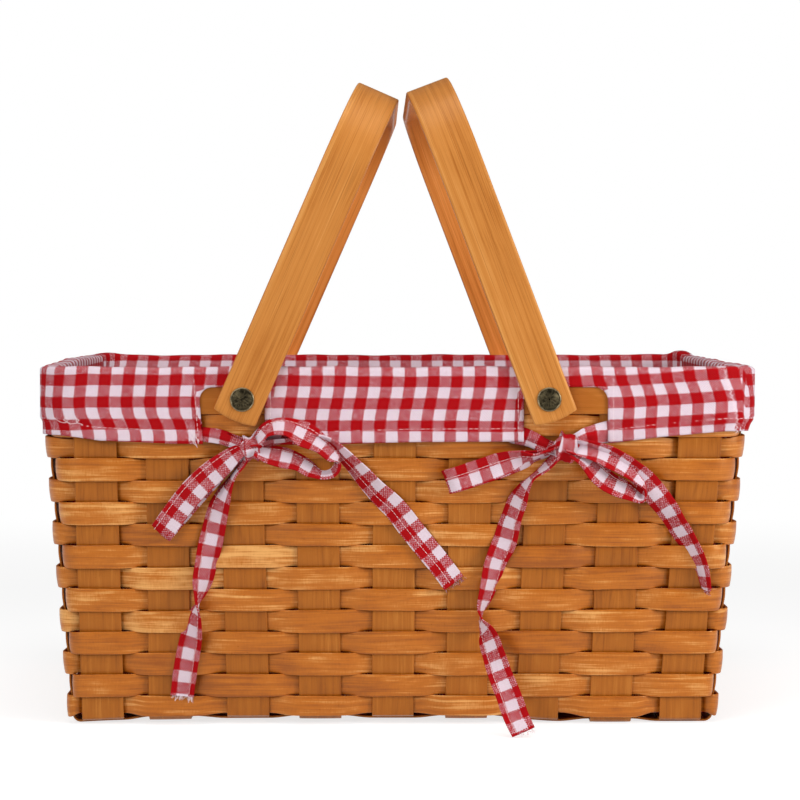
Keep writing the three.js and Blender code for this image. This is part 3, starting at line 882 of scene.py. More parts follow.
def skirt_reach(along, z):
    """How far the skirt stands out: a slow sway and short puckers that grow downwards, raised sewn hems
    with a groove at their stitches, a flare at the front right corner and a tuck at the left one. It
    keeps in beside the cut-outs, where the lowered handles pass."""
    x, distance = on_wall(along), cutout_distance(along, z)
    above = z - hem_height(along)
    fall = np.clip((RIM_FOOT - z) / 38, 0, 1)
    far = 0.45 + 0.55 * ease((distance - 3) / 25)
    sway = (0.3 + ripple(along, 301, (96.0, 61.0, 33.0), 0.45)) * fall**1.3 * far
    pucker = ripple(along, 302, (9.7, 6.3, 14.9), 0.11) * np.exp(-np.abs(above - HEM + 0.2) / 5)
    hem = 0.34 * ease((HEM + 0.2 - above) / 0.8) - 0.32 * np.exp(-(((above - HEM) / 0.9) ** 2))
    edge = 0.22 * ease((CUTOUT_HEM - distance) / 0.8)
    flare = np.exp(-((np.maximum(x - 225, 0) / 70) ** 2)) * ease((x - 150) / 45)
    flare = flare * (0.35 + 0.65 * ease((z - 172) / 7))
    tuck = ease((x - NEXT_WALL + 120) / 60) + ease((-x - 170) / 13)
    tight = ease((x - 150) / 40) * ease((x - 340) / -60) + tuck
    under_legs = ease((21 - distance) / 11)
    inwards = (1.9 * tight + under_legs) * ease((181 - z) / 5)
    return SKIRT_REACH + sway + pucker + hem + edge + 2.9 * flare - inwards


def thicken(piece, thickness):
    """Takes loose vertices away and gives a single sheet its thickness, half on each side."""
    mesh = bmesh.new()
    mesh.from_mesh(piece.data)
    loose = [vertex for vertex in mesh.verts if not vertex.link_faces]
    bmesh.ops.delete(mesh, geom=loose, context="VERTS")
    mesh.to_mesh(piece.data)
    mesh.free()
    solidify = piece.modifiers.new("thickness", "SOLIDIFY")
    solidify.thickness, solidify.offset = thickness * MM, 0.0


def rim_and_bag():
    """The liner's section from the skirt's top on, as distances out from the core and heights: a quarter
    circle, the flat over the hoops, a quarter circle, and the bag's wall down to its floor."""
    turn = np.linspace(0, np.pi / 2, 5)[1:]
    out = np.concatenate([
        SKIRT_REACH - RIM_BEND + RIM_BEND * np.cos(turn),
        [RIM_REACH + 1.2, RIM_REACH - 1.5, BAG_REACH + RIM_BEND],
        BAG_REACH + RIM_BEND - RIM_BEND * np.sin(turn),
    ])
    z = np.concatenate([
        RIM_FOOT + RIM_BEND * np.sin(turn), np.full(3, RIM_TOP), RIM_FOOT + RIM_BEND * np.cos(turn)
    ])
    bag_z = np.concatenate([np.linspace(RIM_FOOT, 190, 8)[1:], np.linspace(186, 8, 26), [5.8, 5.8]])
    bag_out = BAG_REACH - BAG_LEAN * np.maximum(182.4 - bag_z, 0)
    bag_out[-1] -= 6.0
    return np.concatenate([out, bag_out]), np.concatenate([z, bag_z])


def liner_stripes(along, moved, z, over):
    """U and V of the liner in stripes. The columns slip along by COLUMN_SLACK and bend with the depth, by
    BENDS in the three panels of a long wall. The rows are counted down from RED_ROW_TOP, which ROW_LIFT
    moves in front, or back over the rim. The hems turned in round the cut-outs show other columns."""
    x = on_wall(along)
    front = (along + HALF_LENGTH) // HALF_ROUND == 0
    bent = sum(
        np.interp(x, PANEL_PLACES, w)[:, None] * np.interp(z, BEND_HEIGHTS, b)
        for w, b in zip(PANELS, BENDS)
    )
    slack = np.interp(along, *COLUMN_SLACK)
    u = ((along + COLUMN_START + slack)[:, None] + moved - bent) / STRIPE_ALONG - 0.5
    turned_in = (cutout_distance(along[:, None] + moved, z) < CUTOUT_HEM) & (z < CUTOUT_TOP - 2)
    first_row = RED_ROW_TOP + np.where(front, np.interp(x, *ROW_LIFT), 0)
    v = (first_row[:, None] - np.where(over > 0, RIM_FOOT + over, z)) / STRIPE_DOWN
    return u + 0.62 * turned_in, v


def add_liner():
    """The cloth liner as one sheet: the skirt, the fold over the rim and the bag's wall inside. Vertices
    near a cut-out's edge move on to it, and the faces inside it are left out."""
    n = len(LINER_ALONG)
    along = np.repeat(LINER_ALONG[:, None], SKIRT_ROWS, 1)
    hem = hem_height(LINER_ALONG)[:, None]
    z = hem + (RIM_FOOT - hem) * np.linspace(0, 1, SKIRT_ROWS)
    distance = cutout_distance(along, z)
    across = cutout_distance(along + 0.01, z) - cutout_distance(along - 0.01, z)
    down = cutout_distance(along, z + 0.01) - cutout_distance(along, z - 0.01)
    slope = unit(np.stack([across, down], -1) + 1e-9)
    shift = np.where(np.abs(distance) < 0.93, -distance, 0)[..., None] * slope
    inside = distance[:-1, :-1] + distance[1:, :-1] + distance[1:, 1:] + distance[:-1, 1:] < 0
    skirt_out = skirt_reach(along + shift[..., 0], z + shift[..., 1])

    rest_out, rest_z = rim_and_bag()
    over = np.cumsum(np.hypot(np.diff(rest_out, prepend=SKIRT_REACH), np.diff(rest_z, prepend=RIM_FOOT)))
    deep = ease((196 - rest_z) / 60)
    fold = ripple(LINER_ALONG, 303, (83.0, 57.0, 38.0), 1.0)[:, None]
    fold = fold + ripple(LINER_ALONG[:, None] + 0.35 * rest_z, 304, (71.0, 44.0), 0.8)
    rest_out = rest_out - (1.9 + 1.5 * fold.clip(-1.2, 2.2)) * deep
    over_rim = np.linspace(1, 0, RIM_ROWS + 2)[1:-1]
    rest_out[:, :RIM_ROWS] += over_rim * (skirt_out[:, -1:] - SKIRT_REACH)
    out = np.concatenate([skirt_out, rest_out], 1)
    z = np.concatenate([z + shift[..., 1], np.broadcast_to(rest_z, (n, len(rest_z)))], 1)
    moved = np.concatenate([shift[..., 0], np.zeros(rest_out.shape)], 1)
    over = np.concatenate([np.zeros(SKIRT_ROWS), over])
    u, v = liner_stripes(LINER_ALONG, moved, z, over)

    rise = ripple(LINER_ALONG, 305, (131.0, 74.0, 29.0), 0.3)
    for height, at, spread in RIM_RISES:
        rise = rise + height * np.exp(-(((LINER_ALONG - at) / spread) ** 2))
    z = z + rise[:, None] * ease((z - 196) / 12)
    short = np.minimum(out - 0.6, 0)[..., None]
    core = LINER_CORE[:, None] * (1 + short / np.array([HALF_LENGTH, HALF_WIDTH]))
    way = quarter_turn(LINER_OUT)[:, None]
    flat = core + LINER_OUT[:, None] * np.maximum(out, 0.6)[..., None] + way * moved[..., None]
    points = with_z(flat, z)

    faces, ci, cj = grid_faces(n, points.shape[1], True, False)
    turn_u = 2 * HALF_ROUND / STRIPE_ALONG
    wide = np.concatenate([u, u[:1] + turn_u])[ci, cj]
    place = np.append(LINER_ALONG, LINER_ALONG[0] + 2 * HALF_ROUND)[ci].mean(1)
    seam = corner_seam(z[ci % n, cj].mean(1))
    wide = wide - turn_u * (place > seam)[:, None]
    bag = (cj >= SKIRT_ROWS + RIM_ROWS - 1).all(1)[:, None]
    bag_v = (RIM_TOP + 2.9 - z) / STRIPE_DOWN
    end_wall = (np.abs(LINER_CORE[ci % n, 1]) < HALF_WIDTH - 0.1).any(1)[:, None]
    over_top = (cj >= SKIRT_ROWS - 1).all(1)[:, None]
    rows = np.where(bag, bag_v[ci % n, cj], v[ci % n, cj]) + (end_wall & over_top)
    uv = np.stack([wide, rows], -1)
    keep = np.ones((n, points.shape[1] - 1), bool)
    keep[: n - 1, : SKIRT_ROWS - 1] = ~inside
    keep = keep.ravel()
    liner = add_piece("liner_cloth", points, faces[keep], uv[keep], GINGHAM, closed=False)
    thicken(liner, CLOTH)
    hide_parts("liner")


def add_bag_floor():
    """The bag's floor: a rectangle of its own that lies on the woven floor, with low soft folds."""
    x, y = np.meshgrid(
        np.linspace(-1, 1, 90) * (HALF_LENGTH + 0.8), np.linspace(-1, 1, 58) * (HALF_WIDTH + 0.8),
        indexing="ij",
    )
    z = 7.2 + ripple(x + 0.4 * y, 311, (93.0, 47.0), 0.35) + ripple(y - 0.3 * x, 312, (71.0, 39.0), 0.3)
    faces, ci, cj = grid_faces(*x.shape)
    uv = np.stack([x / STRIPE_ALONG, y / STRIPE_DOWN], -1)[ci, cj]
    floor = add_piece("liner_floor", np.stack([x, y, z], -1), faces, uv, GINGHAM, closed=False)
    thicken(floor, CLOTH)


def ring_point(along, out):
    """The place at a length round the skirt and a distance out, and the two level directions there."""
    core = np.stack([np.interp(along, LINER_ALONG, LINER_CORE[:, k]) for k in (0, 1)], 1)
    outward = unit(np.stack([np.interp(along, LINER_ALONG, LINER_OUT[:, k]) for k in (0, 1)], 1))
    return core + outward * out[:, None], outward, quarter_turn(outward)


def add_skirt_stitches():
    """A row of stitches along the hem, one beside each upright edge of the cut-outs and a zig-zag over
    the corner seam."""
    along = np.arange(LINER_ALONG[0] + 1, LINER_ALONG[-1], STITCH_STEP)
    z = hem_height(along) + HEM
    lean = np.zeros(len(along))
    for wall in (0, -HALF_ROUND):
        for edge in (CUTOUTS[0][0] - 2.4, CUTOUTS[0][1] + 3.2, CUTOUTS[1][0] - 3.2, CUTOUTS[1][1] + 3.2):
            up = np.arange(hem_height(np.array(edge)) + 2, 203, STITCH_STEP)
            along = np.append(along, wall + edge + cutout_lean(edge, up))
            z = np.append(z, up)
            lean = np.append(lean, np.full(len(up), np.pi / 2))
    up = np.arange(172, 208, 1.15)
    along, z = np.append(along, corner_seam(up)), np.append(z, up)
    lean = np.append(lean, (-1.0) ** np.arange(len(up)) * 0.6)
    clear = cutout_distance(along, z) > 1.6
    along, z, lean = along[clear], z[clear], lean[clear]
    flat, outward, way = ring_point(along, skirt_reach(along, z) + CLOTH / 2 + 0.05)
    ways = with_z(way * np.cos(lean)[:, None], np.sin(lean))
    add_threads("skirt_stitches", with_z(flat, z), ways, with_z(outward, 0), length=2.4, radius=0.15)


def add_loose_threads():
    """Two strands that have worked loose: a wavy one over the hem at the left, and the frayed ends at
    the left cut-out's lower corner. A strand is a chain of short threads through its points."""
    strands = [
        [(-197, 180.6), (-194, 178.2), (-190.5, 177.6), (-188, 179.6), (-189.4, 181.2), (-190.9, 179.4),
         (-187.5, 177.0), (-184, 177.4), (-182, 179.2), (-183.6, 180.4), (-183.4, 177.8), (-180, 176.6)],
        [(-117.6, 173.2), (-116.2, 170.4), (-116.8, 168.0), (-115.2, 166.4), (-114.2, 163.6)],
        [(-116.2, 172.8), (-115.4, 169.8), (-114.0, 168.2), (-113.6, 165.8)],
        [(-118.8, 171.0), (-116.9, 168.8), (-116.4, 166.2), (-115.0, 164.8)],
        [(-114.9, 171.6), (-114.6, 168.8), (-113.0, 167.2)],
    ]
    spots, ways, lengths, ups = [], [], [], []
    for strand in strands:
        x, z = np.array(strand, float).T
        flat, outward, _ = ring_point(x, skirt_reach(x, np.maximum(z, hem_height(x) + 1)) + 0.6)
        points = with_z(flat, z)
        step = np.diff(points, axis=0)
        spots.append((points[1:] + points[:-1]) / 2)
        lengths.append(np.linalg.norm(step, axis=1) * 1.25)
        ways.append(unit(step))
        up = with_z(outward, 0)[1:]
        ups.append(unit(up - ways[-1] * np.sum(up * ways[-1], 1, keepdims=True)))
    add_threads("loose_threads", *map(np.concatenate, (spots, ways, ups, lengths)), radius=0.17)


add_liner()
add_bag_floor()
add_skirt_stitches()
add_loose_threads()


# Bows

STRAP = 1.0
STRAP_WIDTH = 14


def through(rows, step):
    """The rows of numbers led smoothly through the given ones, step mm apart: Hermite curves over the
    length of the first three columns, with slopes from the neighbours."""
    rows = np.asarray(rows, float)
    knots = lengths_along(rows[:, :3])
    slopes = np.gradient(rows, knots, axis=0)
    t = np.linspace(0, knots[-1], int(knots[-1] / step) + 1)
    k = np.clip(np.searchsorted(knots, t, side="right") - 1, 0, len(rows) - 2)
    h = (knots[k + 1] - knots[k])[:, None]
    s = (t - knots[k])[:, None] / h
    return (
        rows[k] * (1 + 2 * s) * (1 - s) ** 2
        + rows[k + 1] * s**2 * (3 - 2 * s)
        + slopes[k] * h * s * (1 - s) ** 2
        - slopes[k + 1] * h * s**2 * (1 - s)
    )


def strap_lines(rows):
    """The middle line and the across vectors of a strap from rows of x, z, how far it is off the weave,
    its width, and two angles: of its width in the picture's plane, and of its turn out of it."""
    x, z, off, width, side, turn = through(rows, 1.2).T
    middle = np.stack([x, -(HALF_WIDTH + reach(z) + 3.6 + off), z], 1)
    side, turn = side * DEG, turn * DEG
    across = np.stack([np.cos(side) * np.cos(turn), -np.sin(turn), np.sin(side) * np.cos(turn)], 1)
    return middle, across * width[:, None]


def loop_lines(rows, front, back):
    """The middle line and the across vectors of an open loop, from its front and back edges' x and z."""
    rows = np.asarray(rows, float)
    near = np.insert(rows[:, :2], 1, front, 1)
    far = np.insert(rows[:, 2:], 1, back, 1)
    lines = through(np.concatenate([(near + far) / 2, near - far], 1), 1.2)
    return lines[:, :3], lines[:, 3:]


def crease(length, aside, width, seed, cup):
    """How far a strap's middle surface stands off its flat place: cupped by the square of the place
    across, with ripples that run aslant and, where the strap is gathered, folds along it."""
    aslant = ripple(length + 0.8 * aside, 500 + seed, (29.0, 17.0), 0.22)
    gathered = ripple(aside, 600 + seed, (5.3,), 0.55) * np.clip(1.6 - width / 9, 0, 1)
    return aslant + gathered - cup * ((2 * aside / width) ** 2 - 0.4)


def add_ribbon(
    name, lines, stripes, seed, turn, node=None, cup=0.5, stitch=None, wrap=False, rows=None
):
    """A strap with rounded edges along its middle line. stripes says where the checks' columns start,
    rows the same for its rows and how long they are, stitch how far across the sewn row is where the
    strap is STRAP_WIDTH wide, and turn is -1 for one at the back."""
    middle, across = lines
    before, after = np.roll(middle, 1, 0), np.roll(middle, -1, 0)
    way = unit(after - before) if wrap else unit(np.gradient(middle, axis=0))
    width = np.linalg.norm(across, axis=1, keepdims=True)
    side = unit(across - way * np.sum(across * way, 1, keepdims=True))
    face = np.cross(way, side)
    length = lengths_along(middle)
    share, inset, depth = edge_profile(radius=0.44, thickness=STRAP, middles=9)
    aside = share * width / 2 - inset
    lift = crease(length[:, None], aside, width, seed, cup) + depth
    points = middle[:, None] + side[:, None] * aside[..., None] + face[:, None] * lift[..., None]
    about = facing(turn)
    v = aside / STRIPE_ALONG + stripes
    start, pitch = rows or (0.37 * seed, STRIPE_DOWN)
    ribbon = sweep(name, points * about, length / pitch + start, v, GINGHAM, wrap=wrap)
    if node:
        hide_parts(node)
    if stitch is not None:
        k = np.arange(2, len(middle) - 2, 2)
        at = stitch * width[k] / STRAP_WIDTH
        top = crease(length[k, None], at, width[k], seed, cup)
        spots = [middle[k] + side[k] * at + face[k] * (top + s * STRAP / 2) for s in (1, -1)]
        sewn = add_threads(
            f"{name}_stitches", np.concatenate(spots) * about, np.tile(way[k], (2, 1)) * about,
            np.concatenate([face[k], -face[k]]) * about, length=2.15, radius=0.14,
        )
        return [ribbon, sewn]
    return [ribbon]


def add_frays(name, lines, turn, seed):
    """Loose threads that fan out of a strap's cut end. None reaches through the floor."""
    middle, across = lines
    random = np.random.default_rng(700 + seed)
    way = unit(middle[-1] - middle[-4])
    count = 26
    place = random.uniform(-0.5, 0.5, (count, 1))
    length = random.uniform(1.6, 4.2, count)
    ways = unit(way + random.normal(0, 0.28, (count, 3)))
    ups = unit(np.cross(ways, random.normal(0, 1, (count, 3))))
    edge = middle[-1] + across[-1] * place
    length = np.minimum(length, (edge[:, 2] - 0.3) / np.maximum(-ways[:, 2], 0.1))
    spots = edge + ways * (length[:, None] * 0.42)
    about = facing(turn)
    cotton = GINGHAM if seed % 2 else SEWING_COTTON
    return add_threads(name, spots * about, ways * about, ups * about, length, radius=0.13, finish=cotton)


def add_knot(name, x, z, wide, high, turn, node, seed):
    """A knot: a creased core along x under a band that is wrapped round it from front to back. The
    core's radius is an ellipse's, with ripples round it."""
    y = -(HALF_WIDTH + reach(z) + 8.4)
    about = facing(turn)
    along = np.sin(np.linspace(-np.pi / 2, np.pi / 2, 23)) * (wide * 0.72)
    angle = (np.arange(40) + 0.5) * np.pi / 20
    round_off = np.sqrt(1 - (along / (wide * 0.745)) ** 2)
    folds = 1 + 0.10 * np.sin(5 * angle[None] + 0.35 * along[:, None] + seed)
    radius = round_off[:, None] * folds
    points = np.stack([
        np.broadcast_to(x + along[:, None], radius.shape),
        y + 4.3 * radius * np.cos(angle), z + high * 0.42 * radius * np.sin(angle),
    ], -1)
    core = sweep(f"{name}_core", points * about, along / STRIPE_DOWN + seed, angle * 0.9, GINGHAM)
    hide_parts(node)
    t = np.linspace(0, 2 * np.pi, 61)[:-1]
    tilt = 0.16 * (1 if seed % 2 else -1)
    middle = np.stack([
        x + tilt * high / 2 * np.sin(t) + 0.5 * np.cos(2 * t),
        y - 5.0 * np.cos(t), z + high / 2 * 0.93 * np.sin(t),
    ], 1)
    width = wide * (0.86 + 0.14 * np.cos(2 * t + 0.6))
    across = np.stack([width, 0 * t, -width * tilt], 1)
    band = add_ribbon(
        f"{name}_band", (middle, across), 1.5 - seed, 27 + 3 * seed, turn, cup=1.5, wrap=True
    )
    return [core, *band]


# Each strap is in rows of x, z, how far it is off the weave, its width, and the two angles of its width:
# in the picture's plane and out of it. An open loop is in rows of x and z of its front and back edges,
# which lie at the two loop_edges. A knot has x, z, width and height. stripes and rows say how the checks
# lie across and along a strap, and pressed names what a lowered leg presses flat.
BOWS = {
    "left": {
        "number": 0,
        "pressed": ("root_1", "flat_loop"),
        "knot": (-82.9, 163.1, 9.0, 14.0),
        "roots": [
            [(-114.5, 171.4, -0.5, 8.5, 80, -4), (-107.5, 170.6, -0.2, 8.5, 80, -8),
             (-101.1, 169.5, 0.8, 8.5, 77, 10), (-94.1, 167.5, 2.4, 8, 71, -14),
             (-87.2, 164.8, 4.2, 7.5, 70, 16), (-82.5, 163.4, 5.0, 7, 73, 0)],
            [(-82.5, 164.5, 5.0, 7, 143, 0), (-79.1, 169.0, 3.2, 7.5, 137, 12),
             (-74.6, 173.0, 0.6, 8.5, 131, 0), (-70.0, 175.0, -0.5, 9, 128, 0)],
        ],
        "flat_loop": [
            (-84.2, 164.0, 6.4, 8, -40, 50), (-90.5, 161.1, 6.4, 10, -44, 34),
            (-98.6, 154.8, 6.0, 13, -46, 16), (-115.4, 139.9, 5.2, 14.6, -46, 0),
            (-126.6, 126.2, 4.6, 14.2, -44, 0), (-134.6, 115.1, 4.2, 14, -41, 0),
            (-135.7, 113.7, 3.4, 14, -41, 0), (-134.6, 115.0, 2.4, 14, -41, 0),
            (-125.4, 125.6, 1.6, 14, -42, 0), (-112.6, 140.2, 1.4, 14, -44, 0),
            (-97.6, 154.9, 2.2, 12, -44, 12), (-86.0, 162.1, 4, 8, -40, 30),
        ],
        "open_loop": [
            (-83.3, 164.4, -83.7, 167.3), (-78.7, 165.0, -81.4, 169.6), (-72.4, 170.1, -75.6, 177.7),
            (-61.0, 171.3, -66.5, 180.2), (-51.3, 164.4, -55.0, 178.8), (-42.2, 159.8, -44.6, 171.9),
            (-35.9, 154.7, -37.2, 164.4), (-32.2, 153.0, -34.3, 158.7), (-34.5, 148.4, -36.0, 152.5),
            (-41.0, 146.4, -42.8, 150.4), (-47.5, 146.9, -49.0, 155.4), (-56.0, 150.6, -55.5, 160.4),
            (-66.2, 153.0, -63.5, 163.6), (-74.5, 155.4, -71.5, 164.6), (-81.0, 160.0, -80.0, 164.4),
        ],
        "first_tail": [
            (-85.4, 162.3, 6.0, 7, -19, 62), (-87.7, 155.3, 5.5, 8.5, -28, 62),
            (-93.0, 147.7, 4.6, 10, -32, 76), (-97.1, 140.1, 3.6, 12, -26, 54),
            (-101.3, 130.7, 2.6, 13.5, -17, 33), (-106.4, 110.4, 1.4, 14, -13, 4),
            (-109.2, 97.8, 1.2, 14, -12, -22), (-112.4, 81.5, 2.0, 14, -12, -50),
            (-114.0, 74.5, 2.6, 13, -13, -76), (-115.8, 66.8, 2.4, 13, -12, -118),
            (-117.7, 56.7, 1.6, 14, -11, -148), (-120.2, 44.8, 1.0, 14, -11, -170),
            (-122.6, 31.4, 0.8, 14, -9, -178), (-124.5, 17.5, 0.8, 13.6, -8, -186),
        ],
        "second_tail": [
            (-79.1, 164.5, 5.0, 7, 100, 60), (-63.7, 167.2, 1.6, 10, 99, 72),
            (-48.2, 169.5, 1.4, 12, 88, 76), (-37.2, 166.1, 2.6, 13, 57, 66),
            (-26.9, 155.6, 2.4, 14, 43, 52), (-9.9, 136.9, 1.4, 14, 44, 25),
            (-0.4, 127.8, 1.0, 14, 42, 12), (7.8, 117.3, 0.6, 14, 38, 2),
            (16.5, 106.4, 0.6, 14, 39, -6), (24.6, 96.5, 0.8, 14, 38, -14),
            (33.9, 84.2, 1.2, 13.8, 37, -8),
        ],
        "stripes": {"flat_loop": 1.0, "open_loop": -0.5, "first_tail": -0.5, "second_tail": 0.9},
        "rows": {"flat_loop": (-0.64, 6.39), "first_tail": (1.17, 6.92), "second_tail": (1.63, 6.7)},
        "stitch": {"flat_loop": -4.3, "first_tail": -3.9, "second_tail": -2.0, "open_loop": -4.2},
        "loop_edges": (-149.0, -140.4),
    },
    "right": {
        "number": 1,
        "pressed": ("knot", "root_1", "root_2", "flat_loop", "open_loop", "second_tail"),
        "knot": (98.4, 163.4, 10.6, 16.4),
        "roots": [
            [(67.0, 171.4, -0.5, 11, 74, 0), (70.6, 170.5, -0.3, 11, 72, -6),
             (77.4, 168.2, 0.9, 10, 69, 14), (84.8, 165.1, 2.6, 8.5, 69, -12),
             (92.2, 162.6, 4.4, 7.5, 79, 10), (97.9, 162.7, 5.0, 7, 90, 0)],
            [(98.5, 163.8, 5.0, 7, 127, 0), (104.9, 168.7, 3.6, 7.5, 117, 24),
             (113.1, 171.2, 1.8, 10, 101, -16), (123.1, 172.2, -0.3, 12.8, 96, 0),
             (127.0, 172.6, -0.5, 12.8, 94, 0)],
        ],
        "flat_loop": [
            (96.7, 164.5, 6.2, 7, 70, 60), (88.1, 161.3, 6, 8.5, 62, 66),
            (80.4, 158.4, 5.6, 11, 72, 68), (71.5, 157.5, 5.2, 13.5, 90, 46),
            (61.7, 154.3, 5, 14, 106, 10), (46.2, 148.8, 4.8, 14.4, 108, 0),
            (30.7, 143.9, 4.4, 14.2, 110, 0), (29.4, 143.5, 3.4, 14.2, 111, 0),
            (30.8, 143.6, 2.4, 14.2, 110, 0), (47.5, 148.4, 1.6, 14, 108, 0),
            (63.1, 153.4, 1.4, 14, 106, 8), (80.3, 158.2, 2.4, 11, 64, 40),
            (94.5, 163.2, 4, 8, 66, 50),
        ],
        "open_loop": [
            (97.4, 161.4, 98.0, 165.5), (103.7, 159.2, 103.7, 166.1), (111.2, 156.6, 113.0, 166.1),
            (120.3, 152.6, 122.2, 163.8), (129.5, 147.6, 131.4, 158.0), (137.6, 142.6, 138.9, 149.3),
            (142.8, 137.3, 143.6, 140.7), (141.9, 133.0, 142.4, 137.2), (130.7, 134.7, 135.4, 143.0),
            (118.1, 139.9, 125.7, 148.8), (111.2, 145.9, 118.7, 155.1), (105.4, 154.5, 110.7, 160.3),
            (99.7, 159.1, 102.6, 163.8),
        ],
        "first_tail": [
            (95.5, 163.3, 0.2, 7, -36, 20), (92.2, 158.7, 4.5, 8.5, -41, 60),
            (86.0, 152.2, 4.6, 10, -47, 66), (78.6, 145.8, 3.8, 11, -44, 80),
            (74.6, 140.5, 3.2, 12.5, -33, 62), (71.4, 134.6, 2.4, 13.5, -23, 46),
            (66.2, 120.2, 1.6, 14, -18, 30), (63.1, 108.2, 1.2, 14, -19, 10),
            (58.2, 96.5, 1.2, 14, -19, -24), (54.8, 84.2, 1.4, 14, -16, -38),
            (51.9, 74.2, 2.0, 13.5, -14, -54), (49.6, 67.2, 2.4, 12, -4, -72),
            (49.6, 62.1, 4.1, 12, 6, -98), (52.8, 55.1, 8.6, 13.5, 14, -134),
            (56.4, 44.4, 15.6, 14, 18, -158), (60.0, 33.3, 23.1, 14, 20, -172),
            (64.5, 22.3, 30.9, 14.5, 21, -180), (68.4, 11.4, 37.5, 14.6, 22, -186),
            (72.3, 3.4, 43.5, 14, 20, -184),
        ],
        "second_tail": [
            (100.1, 166.8, 6.0, 7, 79, 55), (113.0, 164.2, 6.5, 9.5, 73, 54),
            (124.0, 159.3, 6.5, 12.5, 61, 42), (133.6, 152.6, 6.0, 13.5, 53, 38),
            (141.3, 146.4, 5.4, 14, 45, 26), (150.8, 135.3, 4.4, 14, 39, 10),
            (157.1, 127.1, 3.4, 14, 35, 28), (164.6, 115.3, 2.4, 14, 33, 38),
            (170.8, 105.5, 1.8, 14, 29, 46), (177.2, 92.9, 1.6, 13.5, 20, 58),
            (180.1, 80.0, 1.8, 12.5, 13, 74),
        ],
        "stripes": {"flat_loop": -0.087, "open_loop": -0.5, "first_tail": -0.5, "second_tail": -0.5},
        "rows": {"flat_loop": (3.01, 6.39), "first_tail": (4.8, 6.39), "second_tail": (4.54, 6.71)},
        "stitch": {"flat_loop": 1.7, "first_tail": 3.9, "second_tail": None, "open_loop": -4.2},
        "loop_edges": (-148.0, -140.4),
    },
}


def add_bow(row, side, bow, turn):
    """A bow: the knot, its gathered roots, a flat and an open loop, and two tails with frayed ends. The
    pieces that the handle of its side would press flat when it is lowered get meshes of their own."""
    name, node = f"{row}_{side}_tie", f"{row}_{side}_bow"
    number = bow["number"]
    pieces = {"knot": add_knot(f"{name}_knot", *bow["knot"], turn, f"{node}_knot", number)}
    for k, rows in enumerate(bow["roots"]):
        pieces[f"root_{k + 1}"] = add_ribbon(
            f"{name}_root_{k + 1}", strap_lines(rows), 0.2 + 0.6 * k, 10 * number + 5 + k, turn, cup=1.1
        )
    for k, part in enumerate(("flat_loop", "open_loop", "first_tail", "second_tail")):
        if part == "open_loop":
            lines = loop_lines(bow[part], *bow["loop_edges"])
        else:
            lines = strap_lines(bow[part])
        pieces[part] = add_ribbon(
            f"{name}_{part}", lines, bow["stripes"][part], 10 * number + k, turn, f"{node}_{part}",
            stitch=bow["stitch"][part], rows=bow["rows"].get(part),
        )
        if part.endswith("tail"):
            pieces[part].append(add_frays(f"{name}_{part}_fray", lines, turn, 10 * number + k))
    for part in bow["pressed"]:
        for piece in pieces[part]:
            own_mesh(piece)


add_bow("front", "left", BOWS["left"], 1)
add_bow("front", "right", BOWS["right"], 1)
add_bow("back", "right", BOWS["left"], -1)
add_bow("back", "left", BOWS["right"], -1)


# Rivets

RIVET_DOME = 2.4
RIVET_FACE = LEG_MIDDLE + HANDLE_THICKNESS / 2
DISH_RADIUS = 6.0
DISH_EDGE = 0.55
# The raised rim round the dome, out to a radius of 7 mm, and the flat back, in radii and heights
RIVET_RIM = (
    [5.9, 6.05, 6.3, 6.6, 6.85, 7.0, 6.95, 6.7, 3.0],
    [0.62, 0.75, 1.0, 1.02, 0.8, 0.45, 0.15, 0.02, 0.02],
)


def antique_brass():
    """Dark brass whose U is the distance from the head's middle: the raised rim is rubbed bright."""
    finish = Finish("antique_brass", Metallic=1.0)
    u, v = finish.surface()
    cloud = finish.noise(u * 0.5, v * 1.1, 3.0)
    scratch = finish.noise(u * 0.35 + v * 1.2, v * 7.0, 1.0).step(0.60, 0.72)
    rubbed = (u + (cloud - 0.5) * 1.2).step(6.0, 6.7)
    dark = finish.mix(cloud.step(0.3, 0.7), (0.020, 0.016, 0.009), (0.075, 0.060, 0.032))
    dark = finish.mix(scratch * 0.45, dark, (0.26, 0.22, 0.14))
    finish.paint(
        Base_Color=finish.mix(rubbed * 0.6, dark, (0.42, 0.33, 0.19)),
        Roughness=0.42 - rubbed * 0.12 + (cloud - 0.5) * 0.25,
    )
    finish.bump(cloud * 0.8 - scratch, 0.1, 0.5)
    return finish.material


ANTIQUE_BRASS = antique_brass()


def add_rivet(place, x, turn):
    """A turned head: a low dome, h = H(1 - (r/R)²), inside a narrow raised rim, and a flat back."""
    r = np.linspace(0.5, 5.6, 14)
    h = DISH_EDGE + (RIVET_DOME - DISH_EDGE) * (1 - (r / DISH_RADIUS) ** 2)
    r, h = np.append(r, RIVET_RIM[0]), np.append(h, RIVET_RIM[1])
    angle = (np.arange(56) + 0.5) * np.pi / 28
    points = np.stack([
        x + r[:, None] * np.cos(angle), np.broadcast_to(-(RIVET_FACE + h)[:, None], (len(r), 56)),
        PIVOT_Z + r[:, None] * np.sin(angle),
    ], -1)
    spread = angle * 6.5 / np.pi
    head = sweep(f"{place}_rivet_head", points * facing(turn), r, spread, ANTIQUE_BRASS)
    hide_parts(f"{place}_rivet")


for turn, row in ((1, "front"), (-1, "back")):
    for x, side in ((-PIVOT_X, "left"), (PIVOT_X, "right")):
        add_rivet(f"{row}_{side}", x * turn, turn)


# Camera, light and floor


def add_light(name, place, aim, wide, high, energy):
    """A rectangular lamp of a size in metres, turned to a point."""
    lamp = bpy.data.lights.new(name, "AREA")
    lamp.shape, lamp.size, lamp.size_y, lamp.energy = "RECTANGLE", wide, high, energy
    light = add_object(name, lamp)
    light.location = place
    light.rotation_euler = (Vector(aim) - Vector(place)).to_track_quat("-Z", "Y").to_euler()


